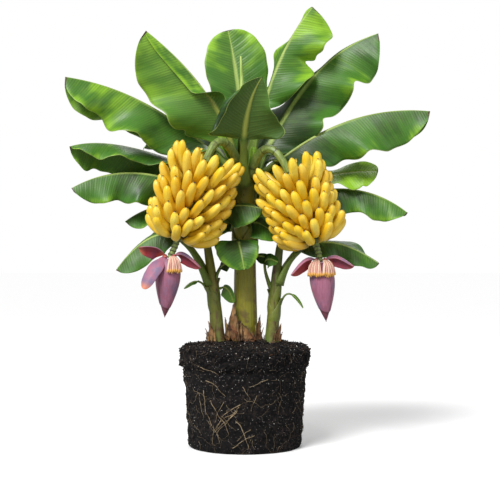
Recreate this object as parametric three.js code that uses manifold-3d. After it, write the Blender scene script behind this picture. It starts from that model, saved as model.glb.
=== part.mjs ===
// A dwarf banana plant on its bare root ball: three leaf-sheath stems from one root, broad leaves,
// two hanging bunches of ripe fruit, and a purple flower bud under each bunch.
// Millimetres, +Z up. The origin is the centre of the root ball's flat underside, and -Y is the front.
import * as THREE from "three";
import { mergeVertices } from "three/addons/utils/BufferGeometryUtils.js";
import Module from "manifold-3d";

const wasm = await Module();
wasm.setup();

// ---- Driving dimensions ----
const gap = 0.4; // clearance between pieces that meet
const simplest = 0.2; // corners this close to flat are left out
const ball = { height: 338, footRadius: 189, neckRadius: 208, lipRadius: 218, lipHeight: 68, mound: 16 };
const ballSides = 24;
const ballRoughness = 4;
const soilTop = ball.height + ball.mound;
const stemSunk = 12; // how far a stem's flat foot sits in its socket in the soil
const stalkRadius = 9;
const bladeThickness = 0.014; // of the leaf's length
const leastThickness = 3;
const tipThickness = 0.4; // the most that half a blade's thickness may be of its half-width
const bladeMiddle = 0.55; // where across a half blade its middle row of corners lies
const ribTip = 1.6; // the midrib's radius at the leaf's tip
const edgeFlutter = 9;
const flutterLength = 178;
const flutterWidth = 90; // a half blade narrower than this flutters less
const flutterEnd = 0.12; // the last share of a blade, where its flutter dies out
const veinLean = 0.42; // how far a side vein runs on towards the tip for each unit outwards
const veinCurve = 0.12;
const halvesApart = 0.37; // how far the two halves' waves are out of step
const rachisRadius = { top: 12, foot: 10 };
const peduncleRadius = { stem: 17, bunch: 12.5 };
const finger = {
  length: 140, radius: 17, sides: 5, steps: 3, sunk: 7,
  startAngle: -13, endAngle: 78, lowerBy: 26, // degrees from level, and how much less at the foot
};
const bunch = {
  hands: 3, rowsPerHand: 2, perRow: 12, fewerBelow: 3, collarRadius: 29, collarOverhang: 0.05, shrink: 0.26,
};
const bractThickness = 4.6;
const bractRoot = [14, -5, 5]; // from the top of the bud, on the bract's own side

const colours = {
  soil: 0x221a16,
  stem: 0x77803a,
  sheath: 0x6b4326,
  leaf: 0x3f7a2c,
  leafBright: 0x7db233,
  stalk: 0x6f8a3c,
  fruit: 0xf6c52c,
  bud: 0x9a6079,
  bract: 0x9c3b40,
  floret: 0xe6b98c,
};

// ---- Small helpers ----
const vec = (p) => new THREE.Vector3(...p);
const radians = THREE.MathUtils.degToRad;
const lerp = THREE.MathUtils.lerp;

// A repeatable number from 0 to 1 for each seed.
function scatter(seed) {
  const wave = Math.sin(seed * 12.9898) * 43758.5453;
  return wave - Math.floor(wave);
}

// A parabola from one point to another that passes through a third at its middle.
function pathThrough(from, via, tip) {
  const [a, b, c] = [vec(from), vec(via), vec(tip)];
  const control = b.clone().multiplyScalar(2).addScaledVector(a, -0.5).addScaledVector(c, -0.5);
  return new THREE.QuadraticBezierCurve3(a, control, c);
}

// The part of a direction that is square to the tangent, as a unit vector.
function squareTo(direction, tangent) {
  return direction.clone().addScaledVector(tangent, -direction.dot(tangent)).normalize();
}

function toSolid(geometry) {
  geometry.deleteAttribute("normal");
  geometry.deleteAttribute("uv");
  const merged = mergeVertices(geometry, 1e-3);
  return new wasm.Manifold(
    new wasm.Mesh({
      numProp: 3,
      vertProperties: merged.attributes.position.array,
      triVerts: new Uint32Array(merged.index.array),
    }),
  );
}

// Splits the four-sided faces of every second quarter of a cylinder along their other diagonal, so
// that the two sides of a thin form made from it split alike and stay clear of each other.
function matchSides(geometry, sides, steps) {
  const corners = geometry.getIndex();
  for (let face = 0; face < sides * steps; face++) {
    const quarter = Math.floor((4 * Math.floor(face / steps)) / sides);
    if (quarter % 2 === 0) continue;
    const at = face * 6;
    const [upper, lower, nextUpper, nextLower] = [0, 1, 2, 4].map((i) => corners.getX(at + i));
    [upper, lower, nextLower, upper, nextLower, nextUpper].forEach((c, i) => corners.setX(at + i, c));
  }
}

// A closed solid whose rings are those of a cylinder, each set in place along a path.
// place(along, turn, rim) gives the point: along runs 0 to 1, turn is the angle round the ring
// from its top towards its right, and rim is 0 at the middle of an end cap and 1 on the ring.
function sweep(sides, steps, place, thin = false) {
  const geometry = new THREE.CylinderGeometry(1, 1, 1, sides, steps);
  if (thin) matchSides(geometry, sides, steps);
  const points = geometry.getAttribute("position");
  for (let i = 0; i < points.count; i++) {
    const x = points.getX(i);
    const z = points.getZ(i);
    const rim = Math.hypot(x, z) > 0.5 ? 1 : 0;
    const at = place(points.getY(i) + 0.5, Math.atan2(x, z), rim);
    points.setXYZ(i, at.x, at.y, at.z);
  }
  return toSolid(geometry);
}

// Which way a grown piece's end faces move along its path.
const endShift = (along) => (along > 0.999 ? 1 : along < 0.001 ? -1 : 0);

// A round limb along a path, with the radius given as a function of the share along it.
function limb(path, radiusAt, { sides = 8, steps = 8, top = [0, -1, 0], grow = 0 } = {}) {
  return sweep(sides, steps, (along, turn, rim) => {
    const tangent = path.getTangent(along);
    const up = squareTo(vec(top), tangent);
    const right = tangent.clone().cross(up);
    const radius = (radiusAt(along) + grow) * rim;
    return path
      .getPoint(along)
      .addScaledVector(tangent, endShift(along) * grow)
      .addScaledVector(up, radius * Math.cos(turn))
      .addScaledVector(right, radius * Math.sin(turn));
  });
}

// ---- Leaves ----
// The share of a blade's full half-width at a share s of its length. belly is where the blade is
// widest; a low value of blunt gives straight sides and a sharp tip, a high one a broad square tip.
function bladeShape(s, [belly, blunt]) {
  if (s < belly) return Math.pow(1 - Math.pow(1 - s / belly, 2.4), 0.7);
  return Math.pow(1 - Math.pow((s - belly) / (1 - belly), blunt), 0.45);
}

// 1, with a smooth dip in the edge at each [place, reach, change].
function dipped(s, dips) {
  const each = dips.map(([at, reach, change]) => 1 + change * Math.exp(-(((s - at) / reach) ** 2)));
  return each.reduce((all, one) => all * one, 1);
}

// A leaf is a stalk that runs on as the midrib, with two half blades. Each half leaves the midrib
// towards its own direction and curls down towards its edge, more and less by turns in waves that
// lean towards the tip as the side veins do; smaller waves lift the edge.
function leafSolid(leaf, grow = 0) {
  const {
    from, via, tip, right, left, width,
    stalk = 0.25, curl = 35, ripple = 18, waves = 2, phase = 0, shape = [0.45, 2.4],
    rightShape = shape, leftShape = shape, rightDips = [], leftDips = [], flutter = edgeFlutter, seed = 0,
    stalkWidth = stalkRadius, steps = 12, stalkSteps = 2, thickness,
  } = leaf;
  const path = pathThrough(from, via, tip);
  const pathLength = path.getLength();
  const thick = (thickness ?? Math.max(pathLength * bladeThickness, leastThickness)) / 2 + grow;
  const widths = Array.isArray(width) ? width : [width, width];
  const place = (along, turn, rim) => {
    const step = along * steps;
    const even = Math.max(0, (step - stalkSteps) / (steps - stalkSteps));
    const s = lerp(even, (1 - Math.cos(Math.PI * even)) / 2, 0.6); // closer set towards both ends
    const t = step < stalkSteps ? (step / stalkSteps) * stalk : lerp(stalk, 1, s);
    const tangent = path.getTangent(t);
    const rightWay = squareTo(vec(right), tangent);
    const leftWay = squareTo(vec(left), tangent);
    const rightUp = rightWay.clone().cross(tangent);
    const leftUp = tangent.clone().cross(leftWay);
    const up = rightUp.clone().add(leftUp).normalize();
    const across = tangent.clone().cross(up);
    const point = path.getPoint(t).addScaledVector(tangent, endShift(along) * grow);
    const rib = lerp(stalkWidth, ribTip, Math.pow(s, 0.8)) + grow;
    if (!rim) return point;
    if (s < 1e-6)
      return point
        .addScaledVector(across, rib * Math.sin(turn))
        .addScaledVector(up, rib * Math.cos(turn));
    const corner = (Math.round(turn / radians(45)) + 8) % 8;
    const onRight = corner < 4;
    const way = onRight ? rightWay : leftWay;
    const normal = onRight ? rightUp : leftUp;
    const share = onRight
      ? bladeShape(s, rightShape) * dipped(s, rightDips)
      : bladeShape(s, leftShape) * dipped(s, leftDips);
    const halfWidth = Math.max(widths[onRight ? 0 : 1] * share, rib) + grow;
    const thickHere = Math.min(thick, tipThickness * halfWidth);
    if (corner === 0) return point.addScaledVector(up, Math.max(rib * 0.5, thickHere));
    if (corner === 4) return point.addScaledVector(up, -rib);
    const v = corner === 2 || corner === 6 ? 1 : bladeMiddle;
    const side = corner === 2 || corner === 6 ? 0 : corner === 1 || corner === 7 ? thickHere : -thickHere;
    const lag = onRight ? 0 : halvesApart;
    const back = (veinLean + veinCurve * v) * halfWidth * v;
    const bladeAlong = (t - stalk) / (1 - stalk) - back / (pathLength * (1 - stalk));
    const wave = Math.sin(2 * Math.PI * (waves * bladeAlong + phase + lag));
    const bend = radians(curl + ripple * wave) + 1e-6;
    const opened = Math.min(1, halfWidth / flutterWidth) * THREE.MathUtils.smoothstep(1 - s, 0, flutterEnd);
    const turned = ((pathLength * t - back) * 2 * Math.PI) / flutterLength + seed + 6 * lag;
    const lift = flutter * Math.pow(v, 1.2) * Math.sin(turned) * opened;
    return point
      .addScaledVector(way, (halfWidth * Math.sin(bend * v)) / bend)
      .addScaledVector(normal, (-halfWidth * (1 - Math.cos(bend * v))) / bend + lift + side);
  };
  return sweep(8, steps, place, true);
}

// Places are on the plant: x to its right, y away from its front, z above the ground.
// right and left say which way each half blade leaves the midrib; width is a half blade's, right first.
const crownLeaves = {
  leaf_top_back: {
    from: [-12, 22, 900], via: [-22, 62, 1190], tip: [-60, 92, 1428],
    right: [1, -0.15, 0.15], left: [-1, -0.35, -0.1], width: [112, 104],
    stalk: 0.36, curl: 14, ripple: 10, shape: [0.5, 2.4],
  },
  leaf_top_right: {
    from: [12, 8, 905], via: [92, 10, 1250], tip: [230, -10, 1488],
    right: [0.95, -0.3, -0.35], left: [-0.3, 0.9, 0.1], width: [134, 70],
    stalk: 0.32, curl: 14, ripple: 30, waves: 2.1, phase: 0.35, rightShape: [0.45, 3.2],
    leftShape: [0.35, 3], rightDips: [[0.515, 0.035, -0.3], [0.62, 0.05, -0.1]],
    leftDips: [[0.75, 0.25, -0.75]],
  },
  leaf_front_centre: {
    from: [-2, -36, 885], via: [4, -146, 1085], tip: [56, -205, 1222],
    right: [-1, -0.15, -0.26], left: [1, -0.15, -0.26], width: [118, 140],
    stalk: 0.35, curl: 12, ripple: 12, waves: 1.2, phase: 0.2, flutter: 6, rightShape: [0.16, 1.0],
    leftShape: [0.16, 0.95], leftDips: [[0.62, 0.1, -0.14]],
  },
  leaf_upper_left: {
    from: [-26, -8, 910], via: [-108, -50, 1160], tip: [-330, -80, 1395],
    right: [-0.75, 0.05, -0.65], left: [0.7, -0.1, 0.6], width: [166, 44],
    stalk: 0.26, curl: 10, ripple: 22, waves: 1.8, phase: 0.6, rightShape: [0.6, 2.6],
    leftShape: [0.5, 2.4], rightDips: [[0.1, 0.12, -0.32]], leftDips: [[0.85, 0.35, -0.8]],
  },
  leaf_left_high: {
    from: [-30, 10, 925], via: [-310, -8, 1148], tip: [-602, -60, 1244],
    right: [0, 0.55, -0.85], left: [0.12, -0.4, -1], width: [128, 146],
    stalk: 0.22, curl: 16, ripple: 34, waves: 2.2, phase: 0.5, rightShape: [0.6, 4],
    leftShape: [0.5, 2.2], leftDips: [[0.74, 0.08, -0.2], [0.43, 0.05, -0.08]],
  },
  leaf_left_middle: {
    from: [-34, 18, 880], via: [-370, 28, 1012], tip: [-594, -20, 1014],
    right: [0, 0.5, -0.95], left: [0.05, -0.85, -0.4], width: [112, 92],
    stalk: 0.3, curl: 20, ripple: 30, waves: 2.5, phase: 0.15, rightShape: [0.4, 4],
    leftShape: [0.45, 3], rightDips: [[0.74, 0.09, -0.12]], leftDips: [[0.3, 0.09, -0.2]],
  },
  leaf_left_low: {
    from: [-32, 4, 800], via: [-330, 0, 925], tip: [-584, -40, 872],
    right: [0, 0.95, -0.35], left: [0, -0.45, -1], width: [90, 120],
    stalk: 0.3, curl: 18, ripple: 28, waves: 2.6, phase: 0.7, rightShape: [0.45, 4],
    leftShape: [0.3, 3], leftDips: [[0.6, 0.12, -0.16]],
  },
  leaf_left_short: {
    from: [-30, 34, 745], via: [-235, 60, 822], tip: [-412, 40, 762],
    right: [0, 0.95, -0.1], left: [0, -0.7, -0.8], width: [55, 72],
    stalk: 0.35, curl: 15, ripple: 22, waves: 1.5, phase: 0.3, shape: [0.5, 8], steps: 10,
  },
  leaf_right_high: {
    from: [30, 20, 905], via: [222, 45, 1244], tip: [455, 20, 1404],
    right: [0.55, -0.45, -0.75], left: [-0.3, 0.9, -0.25], width: [156, 95],
    stalk: 0.2, curl: 10, ripple: 24, waves: 2.6, phase: 0.2, rightShape: [0.36, 3.2],
    leftShape: [0.5, 3], rightDips: [[0.66, 0.04, -0.16]],
  },
  leaf_right_middle: {
    from: [32, 0, 900], via: [318, -25, 1090], tip: [622, -50, 1130],
    right: [0, -0.4, -1], left: [0, 0.55, -0.85], width: [146, 124],
    stalk: 0.22, curl: 16, ripple: 30, waves: 2.2, phase: 0.6, rightShape: [0.5, 2.2],
    leftShape: [0.6, 4], rightDips: [[0.36, 0.1, -0.12]],
  },
  leaf_right_short: {
    from: [34, 26, 835], via: [245, 50, 912], tip: [456, 30, 934],
    right: [0, -0.9, -0.6], left: [0, 0.55, 0.5], width: [80, 50],
    stalk: 0.35, curl: 15, ripple: 24, waves: 1.6, phase: 0.1, rightShape: [0.5, 7],
    leftShape: [0.5, 3], rightDips: [[0.55, 0.06, -0.2], [0.86, 0.04, -0.16]], steps: 10,
  },
  leaf_right_low: {
    from: [30, 12, 785], via: [318, 30, 876], tip: [552, -10, 790],
    right: [0, -0.5, -1], left: [0, 0.95, -0.2], width: [98, 80],
    stalk: 0.32, curl: 18, ripple: 28, waves: 2.4, phase: 0.4, rightShape: [0.3, 3],
    leftShape: [0.5, 4], rightDips: [[0.48, 0.12, -0.2]],
  },
  leaf_back_centre: {
    from: [4, 40, 890], via: [30, 250, 1120], tip: [60, 470, 1075],
    right: [0.95, 0, -0.35], left: [-0.95, 0, -0.35], width: 105,
    curl: 25, ripple: 24, waves: 2.2, phase: 0.1, leftDips: [[0.6, 0.05, -0.2]],
  },
  leaf_back_left: {
    from: [-22, 36, 885], via: [-190, 205, 1090], tip: [-380, 395, 1045],
    right: [0.6, 0.6, -0.5], left: [-0.6, -0.6, -0.6], width: 105,
    curl: 25, ripple: 26, waves: 2.3, phase: 0.5, rightDips: [[0.5, 0.05, -0.25]],
  },
  leaf_back_right: {
    from: [24, 38, 880], via: [190, 215, 1075], tip: [375, 400, 1010],
    right: [0.6, -0.6, -0.6], left: [-0.6, 0.6, -0.5], width: 105,
    curl: 25, ripple: 26, waves: 2.1, phase: 0.8, leftDips: [[0.66, 0.05, -0.22]],
  },
  leaf_back_low_left: {
    from: [-20, 34, 770], via: [-130, 210, 890], tip: [-245, 395, 770],
    right: [0.7, 0.5, -0.5], left: [-0.7, -0.5, -0.5], width: 85,
    stalk: 0.3, curl: 22, ripple: 24, phase: 0.2, steps: 10,
  },
  leaf_back_low_right: {
    from: [22, 34, 760], via: [140, 205, 870], tip: [260, 380, 745],
    right: [0.7, -0.5, -0.5], left: [-0.7, 0.5, -0.5], width: 85,
    stalk: 0.3, curl: 22, ripple: 24, phase: 0.9, steps: 10,
  },
};

const middleLeaves = {
  leaf_fold_upper: {
    from: [-84, -60, 782], via: [-30, -92, 812], tip: [60, -105, 800],
    right: [0.12, -0.45, -0.9], left: [0.1, 0.95, 0.2], width: [78, 50],
    stalk: 0.1, curl: 10, ripple: 8, waves: 1, flutter: 1.5, shape: [0.45, 3], stalkWidth: 5, steps: 8,
  },
  leaf_heart_lower: {
    from: [-28, -42, 700], via: [-16, -98, 672], tip: [-2, -116, 598],
    right: [-0.95, -0.2, 0.25], left: [0.95, -0.15, 0.2], width: [86, 64],
    stalk: 0.2, curl: 14, ripple: 6, waves: 1, flutter: 1.5, shape: [0.35, 1.8], stalkWidth: 5,
    steps: 8,
  },
  leaf_fold_right: {
    from: [22, -38, 754], via: [54, -58, 750], tip: [116, -60, 706],
    right: [0.2, -0.6, -0.8], left: [0.35, 0.6, 0.6], width: [62, 56],
    stalk: 0.12, curl: 12, ripple: 8, waves: 1, flutter: 1.5, shape: [0.45, 3], stalkWidth: 5,
    steps: 8,
  },
  leaf_fold_left: {
    from: [-38, -8, 745], via: [-72, -40, 748], tip: [-104, -52, 712],
    right: [0.1, 0.8, -0.5], left: [0.2, -0.7, -0.7], width: [34, 38],
    stalk: 0.2, curl: 12, ripple: 8, waves: 1, flutter: 1.5, stalkWidth: 4, steps: 7,
  },
};

const sideLeaves = {
  leaf_left_bottom: {
    from: [-118, -10, 545], via: [-258, -22, 718], tip: [-434, -40, 596],
    right: [0.1, 0.75, 0.3], left: [0.3, -0.55, -0.85], width: [60, 76],
    stalk: 0.34, curl: 18, ripple: 18, waves: 2, phase: 0.45, rightShape: [0.45, 4],
    leftShape: [0.45, 6], stalkWidth: 8, steps: 11,
  },
  leaf_right_bottom: {
    from: [112, -10, 548], via: [240, -22, 690], tip: [452, -40, 618],
    right: [-0.2, -0.55, -0.85], left: [0, 0.8, 0.3], width: [66, 60],
    stalk: 0.3, curl: 18, ripple: 18, waves: 2, phase: 0.15, shape: [0.45, 4], stalkWidth: 8,
    steps: 11,
  },
  leaf_left_inner: {
    from: [-104, -4, 545], via: [-82, -14, 605], tip: [-44, -20, 618],
    right: [0.1, -0.7, -0.7], left: [-0.1, 0.7, 0.6], width: [34, 26],
    stalk: 0.45, curl: 10, ripple: 6, waves: 1, flutter: 1.5, stalkWidth: 5, steps: 7,
  },
  leaf_right_inner: {
    from: [98, -6, 508], via: [66, -20, 618], tip: [112, -34, 622],
    right: [0, -0.7, -0.8], left: [-0.1, 0.7, 0.7], width: [36, 26],
    stalk: 0.5, curl: 10, ripple: 6, waves: 1, flutter: 1.5, stalkWidth: 5, steps: 8,
  },
  leaf_sprig_left: {
    from: [-122, -16, 515], via: [-158, -26, 558], tip: [-206, -32, 534],
    right: [0, 0.9, 0.3], left: [0, -0.6, -0.7], width: [8, 13],
    stalk: 0.5, curl: 8, ripple: 4, waves: 1, flutter: 1.5, stalkWidth: 3, steps: 7,
  },
  leaf_round_inner: {
    from: [-86, -14, 532], via: [-60, -26, 532], tip: [-38, -32, 486],
    right: [0.8, -0.3, 0.5], left: [-0.9, -0.2, -0.5], width: [14, 30],
    stalk: 0.2, curl: 8, ripple: 4, waves: 1, flutter: 1.5, stalkWidth: 3, steps: 7,
  },
  leaf_sprig_right: {
    from: [118, -14, 478], via: [150, -24, 516], tip: [196, -30, 468],
    right: [-0.2, -0.8, -0.3], left: [0.3, 0.5, 0.6], width: [9, 8],
    stalk: 0.58, curl: 8, ripple: 4, waves: 1, flutter: 1.5, stalkWidth: 2.6, steps: 7,
  },
};

// ---- Stems ----
const stemFoot = soilTop - stemSunk;
const stems = {
  stem_centre: {
    from: [0, 0, stemFoot], via: [1, 4, 640], tip: [0, 8, 955],
    foot: 47, waist: 41, top: 27,
  },
  stem_left: {
    from: [-93, -12, stemFoot], via: [-108, -8, 530], tip: [-140, 0, 740],
    foot: 31, waist: 23, top: 10,
  },
  stem_right: {
    from: [92, -12, stemFoot], via: [103, -8, 530], tip: [128, 0, 740],
    foot: 29, waist: 22, top: 10,
  },
};

function stemSolid({ from, via, tip, foot, waist, top }, grow = 0) {
  const flare = (t) => (foot - waist) * Math.exp(-t * 9);
  const radiusAt = (t) => flare(t) + lerp(waist, top, Math.pow(t, 1.6));
  return limb(pathThrough(from, via, tip), radiusAt, { sides: 12, steps: 7, grow });
}

// Dry scales of old sheaths that wrap the stems' feet.
const scales = {
  sheath_centre_left: {
    from: [-38, -36, 366], via: [-34, -50, 415], tip: [-38, -38, 480],
    out: [-0.6, -0.8, 0], width: 34,
  },
  sheath_centre_front: {
    from: [4, -58, 366], via: [-4, -58, 390], tip: [-22, -56, 424],
    out: [-0.1, -1, 0], width: 30,
  },
  sheath_centre_right: {
    from: [38, -38, 366], via: [42, -38, 392], tip: [52, -34, 442],
    out: [0.8, -0.6, 0], width: 20,
  },
  sheath_left: {
    from: [-112, -40, 366], via: [-112, -40, 385], tip: [-124, -34, 420],
    out: [-0.6, -0.8, 0], width: 18,
  },
  sheath_right: {
    from: [106, -40, 366], via: [110, -38, 382], tip: [122, -32, 412],
    out: [0.7, -0.7, 0], width: 18,
  },
};

function scaleSolid({ from, via, tip, out, width }, grow = 0) {
  const side = vec(out).cross(new THREE.Vector3(0, 0, 1)).normalize();
  return leafSolid(
    {
      from, via, tip, width, right: side.toArray(), left: side.clone().negate().toArray(),
      stalk: 0.04, curl: 40, ripple: 0, shape: [0.55, 1.2], flutter: 0,
      steps: 6, stalkSteps: 1, stalkWidth: 5, thickness: leastThickness,
    },
    grow,
  );
}

// ---- Fruit and flowers ----
const bunches = {
  left: {
    stemTop: [-14, -28, 935], archVia: [-76, -95, 1024], top: [-130, -130, 950], foot: [-228, -132, 682],
    flower: [-247, -134, 636], flowerTip: [-263, -140, 443], swing: 0.5, reach: 1, turn: 1,
  },
  right: {
    stemTop: [16, -26, 915], archVia: [76, -92, 1000], top: [146, -130, 916], foot: [236, -132, 674],
    flower: [248, -134, 624], flowerTip: [267, -140, 429], swing: 0.2, reach: 0.94, turn: -1,
  },
};

function bunchAxis(spec) {
  const head = vec(spec.top);
  const foot = vec(spec.foot);
  return { head, foot, up: head.clone().sub(foot).normalize() };
}

// The swelling of a finger of fruit at each ring: a thin stub, a full body and a blunt tip.
const fingerSwell = [0.3, 0.92, 1, 0.52];
const fingerRings = [0, 0.38, 0.8, 1];

// A finger leaves the stalk nearly level and turns up along an arc in one upright plane.
function fingerSolid({ root, outward, up, length, radius, startAngle, endAngle }, grow = 0) {
  const turnBy = endAngle - startAngle;
  const side = up.clone().cross(outward);
  return sweep(finger.sides, finger.steps, (along, turn, rim) => {
    const ring = Math.round(along * finger.steps);
    const angle = startAngle + turnBy * fingerRings[ring];
    const reach = (length / turnBy) * (Math.sin(angle) - Math.sin(startAngle));
    const rise = (length / turnBy) * (Math.cos(startAngle) - Math.cos(angle));
    const heading = outward.clone().multiplyScalar(Math.cos(angle)).addScaledVector(up, Math.sin(angle));
    const top = heading.clone().cross(side);
    const swell = (radius * fingerSwell[ring] + grow) * rim;
    return root
      .clone()
      .addScaledVector(outward, reach)
      .addScaledVector(up, rise)
      .addScaledVector(heading, endShift(along) * grow)
      .addScaledVector(top, swell * Math.cos(turn))
      .addScaledVector(heading.clone().cross(top), swell * Math.sin(turn));
  });
}

// A row's place down the bunch: the two rows of a hand stand close, with a wider gap between hands.
function rowShare(row) {
  const hand = Math.floor(row / bunch.rowsPerHand);
  const inHand = (row % bunch.rowsPerHand) - 0.5;
  return (hand + 0.52 + inHand * 0.45) / bunch.hands;
}

// Row 0 is the top one. Each row's fingers stand in the gaps of the row above.
function rowFingers(spec, row) {
  const { head, foot, up } = bunchAxis(spec);
  const share = rowShare(row);
  const size = spec.reach * (1 - bunch.shrink * Math.pow(share, 2.2));
  const isLast = row === bunch.hands * bunch.rowsPerHand - 1;
  const count = bunch.perRow - (isLast ? bunch.fewerBelow : 0);
  const front = up.clone().cross(new THREE.Vector3(1, 0, 0)).normalize();
  const right = front.clone().cross(up).normalize();
  return Array.from({ length: count }, (_, k) => {
    const seed = row * 31 + k * 7 + spec.swing * 50;
    const place = k + (row % 2) * 0.5 + spec.swing + 0.16 * (scatter(seed) - 0.5);
    const turn = (spec.turn * place * 2 * Math.PI) / count;
    const outward = front.clone().multiplyScalar(Math.cos(turn)).addScaledVector(right, Math.sin(turn));
    return {
      root: head.clone().lerp(foot, share).addScaledVector(outward, bunch.collarRadius - finger.sunk),
      outward,
      up,
      length: finger.length * size * (0.96 + 0.08 * scatter(seed + 3)),
      radius: finger.radius * (0.96 + 0.07 * scatter(seed + 5)),
      startAngle: radians(finger.startAngle + 6 * scatter(seed + 7)),
      endAngle: radians(finger.endAngle - finger.lowerBy * share + 8 * scatter(seed + 9)),
    };
  });
}

// A hand is its rows of fingers on the thick collar that holds them to the bunch's stalk.
function handSolid(spec, hand, grow = 0) {
  const rows = Array.from({ length: bunch.rowsPerHand }, (_, i) => hand * bunch.rowsPerHand + i);
  const fingers = rows.flatMap((row) => rowFingers(spec, row)).map((f) => fingerSolid(f, grow));
  const { head, foot } = bunchAxis(spec);
  const from = head.clone().lerp(foot, rowShare(rows[0]) - bunch.collarOverhang);
  const tip = head.clone().lerp(foot, rowShare(rows[rows.length - 1]) + bunch.collarOverhang);
  const collarPath = new THREE.LineCurve3(from, tip);
  const collar = limb(collarPath, () => bunch.collarRadius, { sides: 8, steps: 1, grow });
  return fingers.reduce((whole, f) => whole.add(f), collar);
}

// The bunch's stalk runs down through the hands and bends to hang over the flower.
function rachisSolid(spec, grow = 0) {
  const { head, foot } = bunchAxis(spec);
  const path = new THREE.CatmullRomCurve3([head, head.clone().lerp(foot, 0.5), foot, vec(spec.flower)]);
  const radiusAt = (t) => lerp(rachisRadius.top, rachisRadius.foot, t);
  return limb(path, radiusAt, { sides: 8, steps: 7, grow });
}

function peduncleSolid({ stemTop, archVia, top }, grow = 0) {
  const radiusAt = (t) => lerp(peduncleRadius.stem, peduncleRadius.bunch, t);
  return limb(pathThrough(stemTop, archVia, top), radiusAt, { sides: 8, steps: 7, grow });
}

// The flower bud is a long heart that hangs point down.
const bud = { radius: 40, leastRadius: 2.5, belowStalk: 1 };
const budSwell = (t) => Math.pow(Math.sin(Math.PI * Math.pow(0.05 + 0.95 * t, 0.62)), 0.85);

function budPath(spec) {
  const top = vec(spec.flower);
  const tip = vec(spec.flowerTip);
  return new THREE.LineCurve3(top.clone().lerp(tip, bud.belowStalk / top.distanceTo(tip)), tip);
}

function budSolid(spec, grow = 0) {
  const radiusAt = (t) => Math.max(bud.leastRadius, bud.radius * budSwell(t));
  return limb(budPath(spec), radiusAt, { sides: 10, steps: 8, grow });
}

// Lifted bracts and the rows of small flowers under them, as offsets from the top of the bud.
const bracts = {
  left: [
    {
      via: [-42, -10, 34], tip: [-100, -22, 36],
      right: [0.1, 0.8, 0.2], left: [0.1, -0.5, -0.9], width: [20, 42],
    },
    {
      via: [-48, -50, -34], tip: [-80, -66, -98],
      right: [-0.75, 0.3, 0.3], left: [0.75, -0.3, -0.3], width: 26,
    },
    {
      via: [48, -20, 20], tip: [104, -40, -30],
      right: [0, -0.6, -0.75], left: [0, 0.8, -0.4], width: [34, 26],
    },
  ],
  right: [
    {
      via: [-50, -20, 12], tip: [-98, -38, -42],
      right: [0, 0.8, -0.4], left: [0, -0.6, -0.75], width: [26, 34],
    },
    {
      via: [50, -20, 22], tip: [108, -36, -14],
      right: [0, -0.6, -0.75], left: [0, 0.8, -0.4], width: [34, 26],
    },
  ],
};
const floretFans = { left: [0.42], right: [-0.5, 0.62] }; // turn of each fan round the bud, in radians
// Each floret's distance out from the middle of the bud, and its height over the bud's top, at its
// root, its bend and its tip.
const floret = {
  count: 5, radius: 4, rootRadius: 3.4, spread: 0.085, out: [15, 41, 50], rise: [7, -4, -48],
};

function bractSolid(spec, { via, tip, right, left, width }, grow = 0) {
  const top = vec(spec.flower);
  const at = (offset) => top.clone().add(vec(offset)).toArray();
  return leafSolid(
    {
      from: at([Math.sign(tip[0]) * bractRoot[0], bractRoot[1], bractRoot[2]]),
      via: at(via), tip: at(tip), right, left, width,
      stalk: 0.06, curl: 30, ripple: 0, shape: [0.45, 2.6], flutter: 0,
      steps: 8, stalkSteps: 1, stalkWidth: 5, thickness: bractThickness,
    },
    grow,
  );
}

// A fan of florets springs from one pad beside the stalk and lies over the shoulder of the bud.
function floretSolid(spec, fanTurn, grow = 0) {
  const top = budPath(spec).getPoint(0);
  const towards = (turn, out, rise) =>
    [top.x + out * Math.sin(turn), top.y - out * Math.cos(turn), top.z + rise];
  const row = Array.from({ length: floret.count }, (_, i) => {
    const turn = fanTurn + (i - (floret.count - 1) / 2) * floret.spread * 2;
    const turns = [fanTurn + (turn - fanTurn) * 0.5, turn, turn];
    const points = turns.map((at, k) => towards(at, floret.out[k], floret.rise[k]));
    const radiusAt = (t) => lerp(floret.rootRadius, floret.radius, t);
    const across = [Math.cos(turn), Math.sin(turn), 0];
    return limb(pathThrough(...points), radiusAt, { sides: 4, steps: 2, top: across, grow });
  });
  return row.reduce((whole, f) => whole.add(f));
}

// ---- Root ball ----
// Crumbly soil that kept the form of its pot: a lip round the top, a gentle taper and a flat foot.
function ballSolid() {
  const { height, footRadius, neckRadius, lipRadius, lipHeight, mound } = ball;
  const neck = height - lipHeight;
  const rings = [
    [footRadius, 0],
    [footRadius + 3, 12],
    [lerp(footRadius, neckRadius, 0.5), neck / 2],
    [neckRadius, neck],
    [lipRadius, neck + 8],
    [lipRadius, height - 8],
    [lipRadius - 14, height],
    [lipRadius * 0.55, height + mound * 0.7],
  ];
  return sweep(ballSides, rings.length - 1, (along, turn, rim) => {
    const ring = Math.round(along * (rings.length - 1));
    const [radius, z] = rings[ring];
    if (!rim) return new THREE.Vector3(0, 0, ring ? height + mound : 0);
    const side = (Math.round((turn / (2 * Math.PI)) * ballSides) + ballSides) % ballSides;
    const rough = ballRoughness * (scatter(side * 3.7 + ring * 11) - 0.5);
    const out = radius + (ring ? rough : 0);
    return new THREE.Vector3(-out * Math.sin(turn), out * Math.cos(turn), ring > 5 ? z + rough : z);
  });
}

// ---- Assembly ----
const plant = new THREE.Group();
plant.name = "banana_plant";
const placed = []; // each solid already in the plant, grown by the gap

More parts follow.
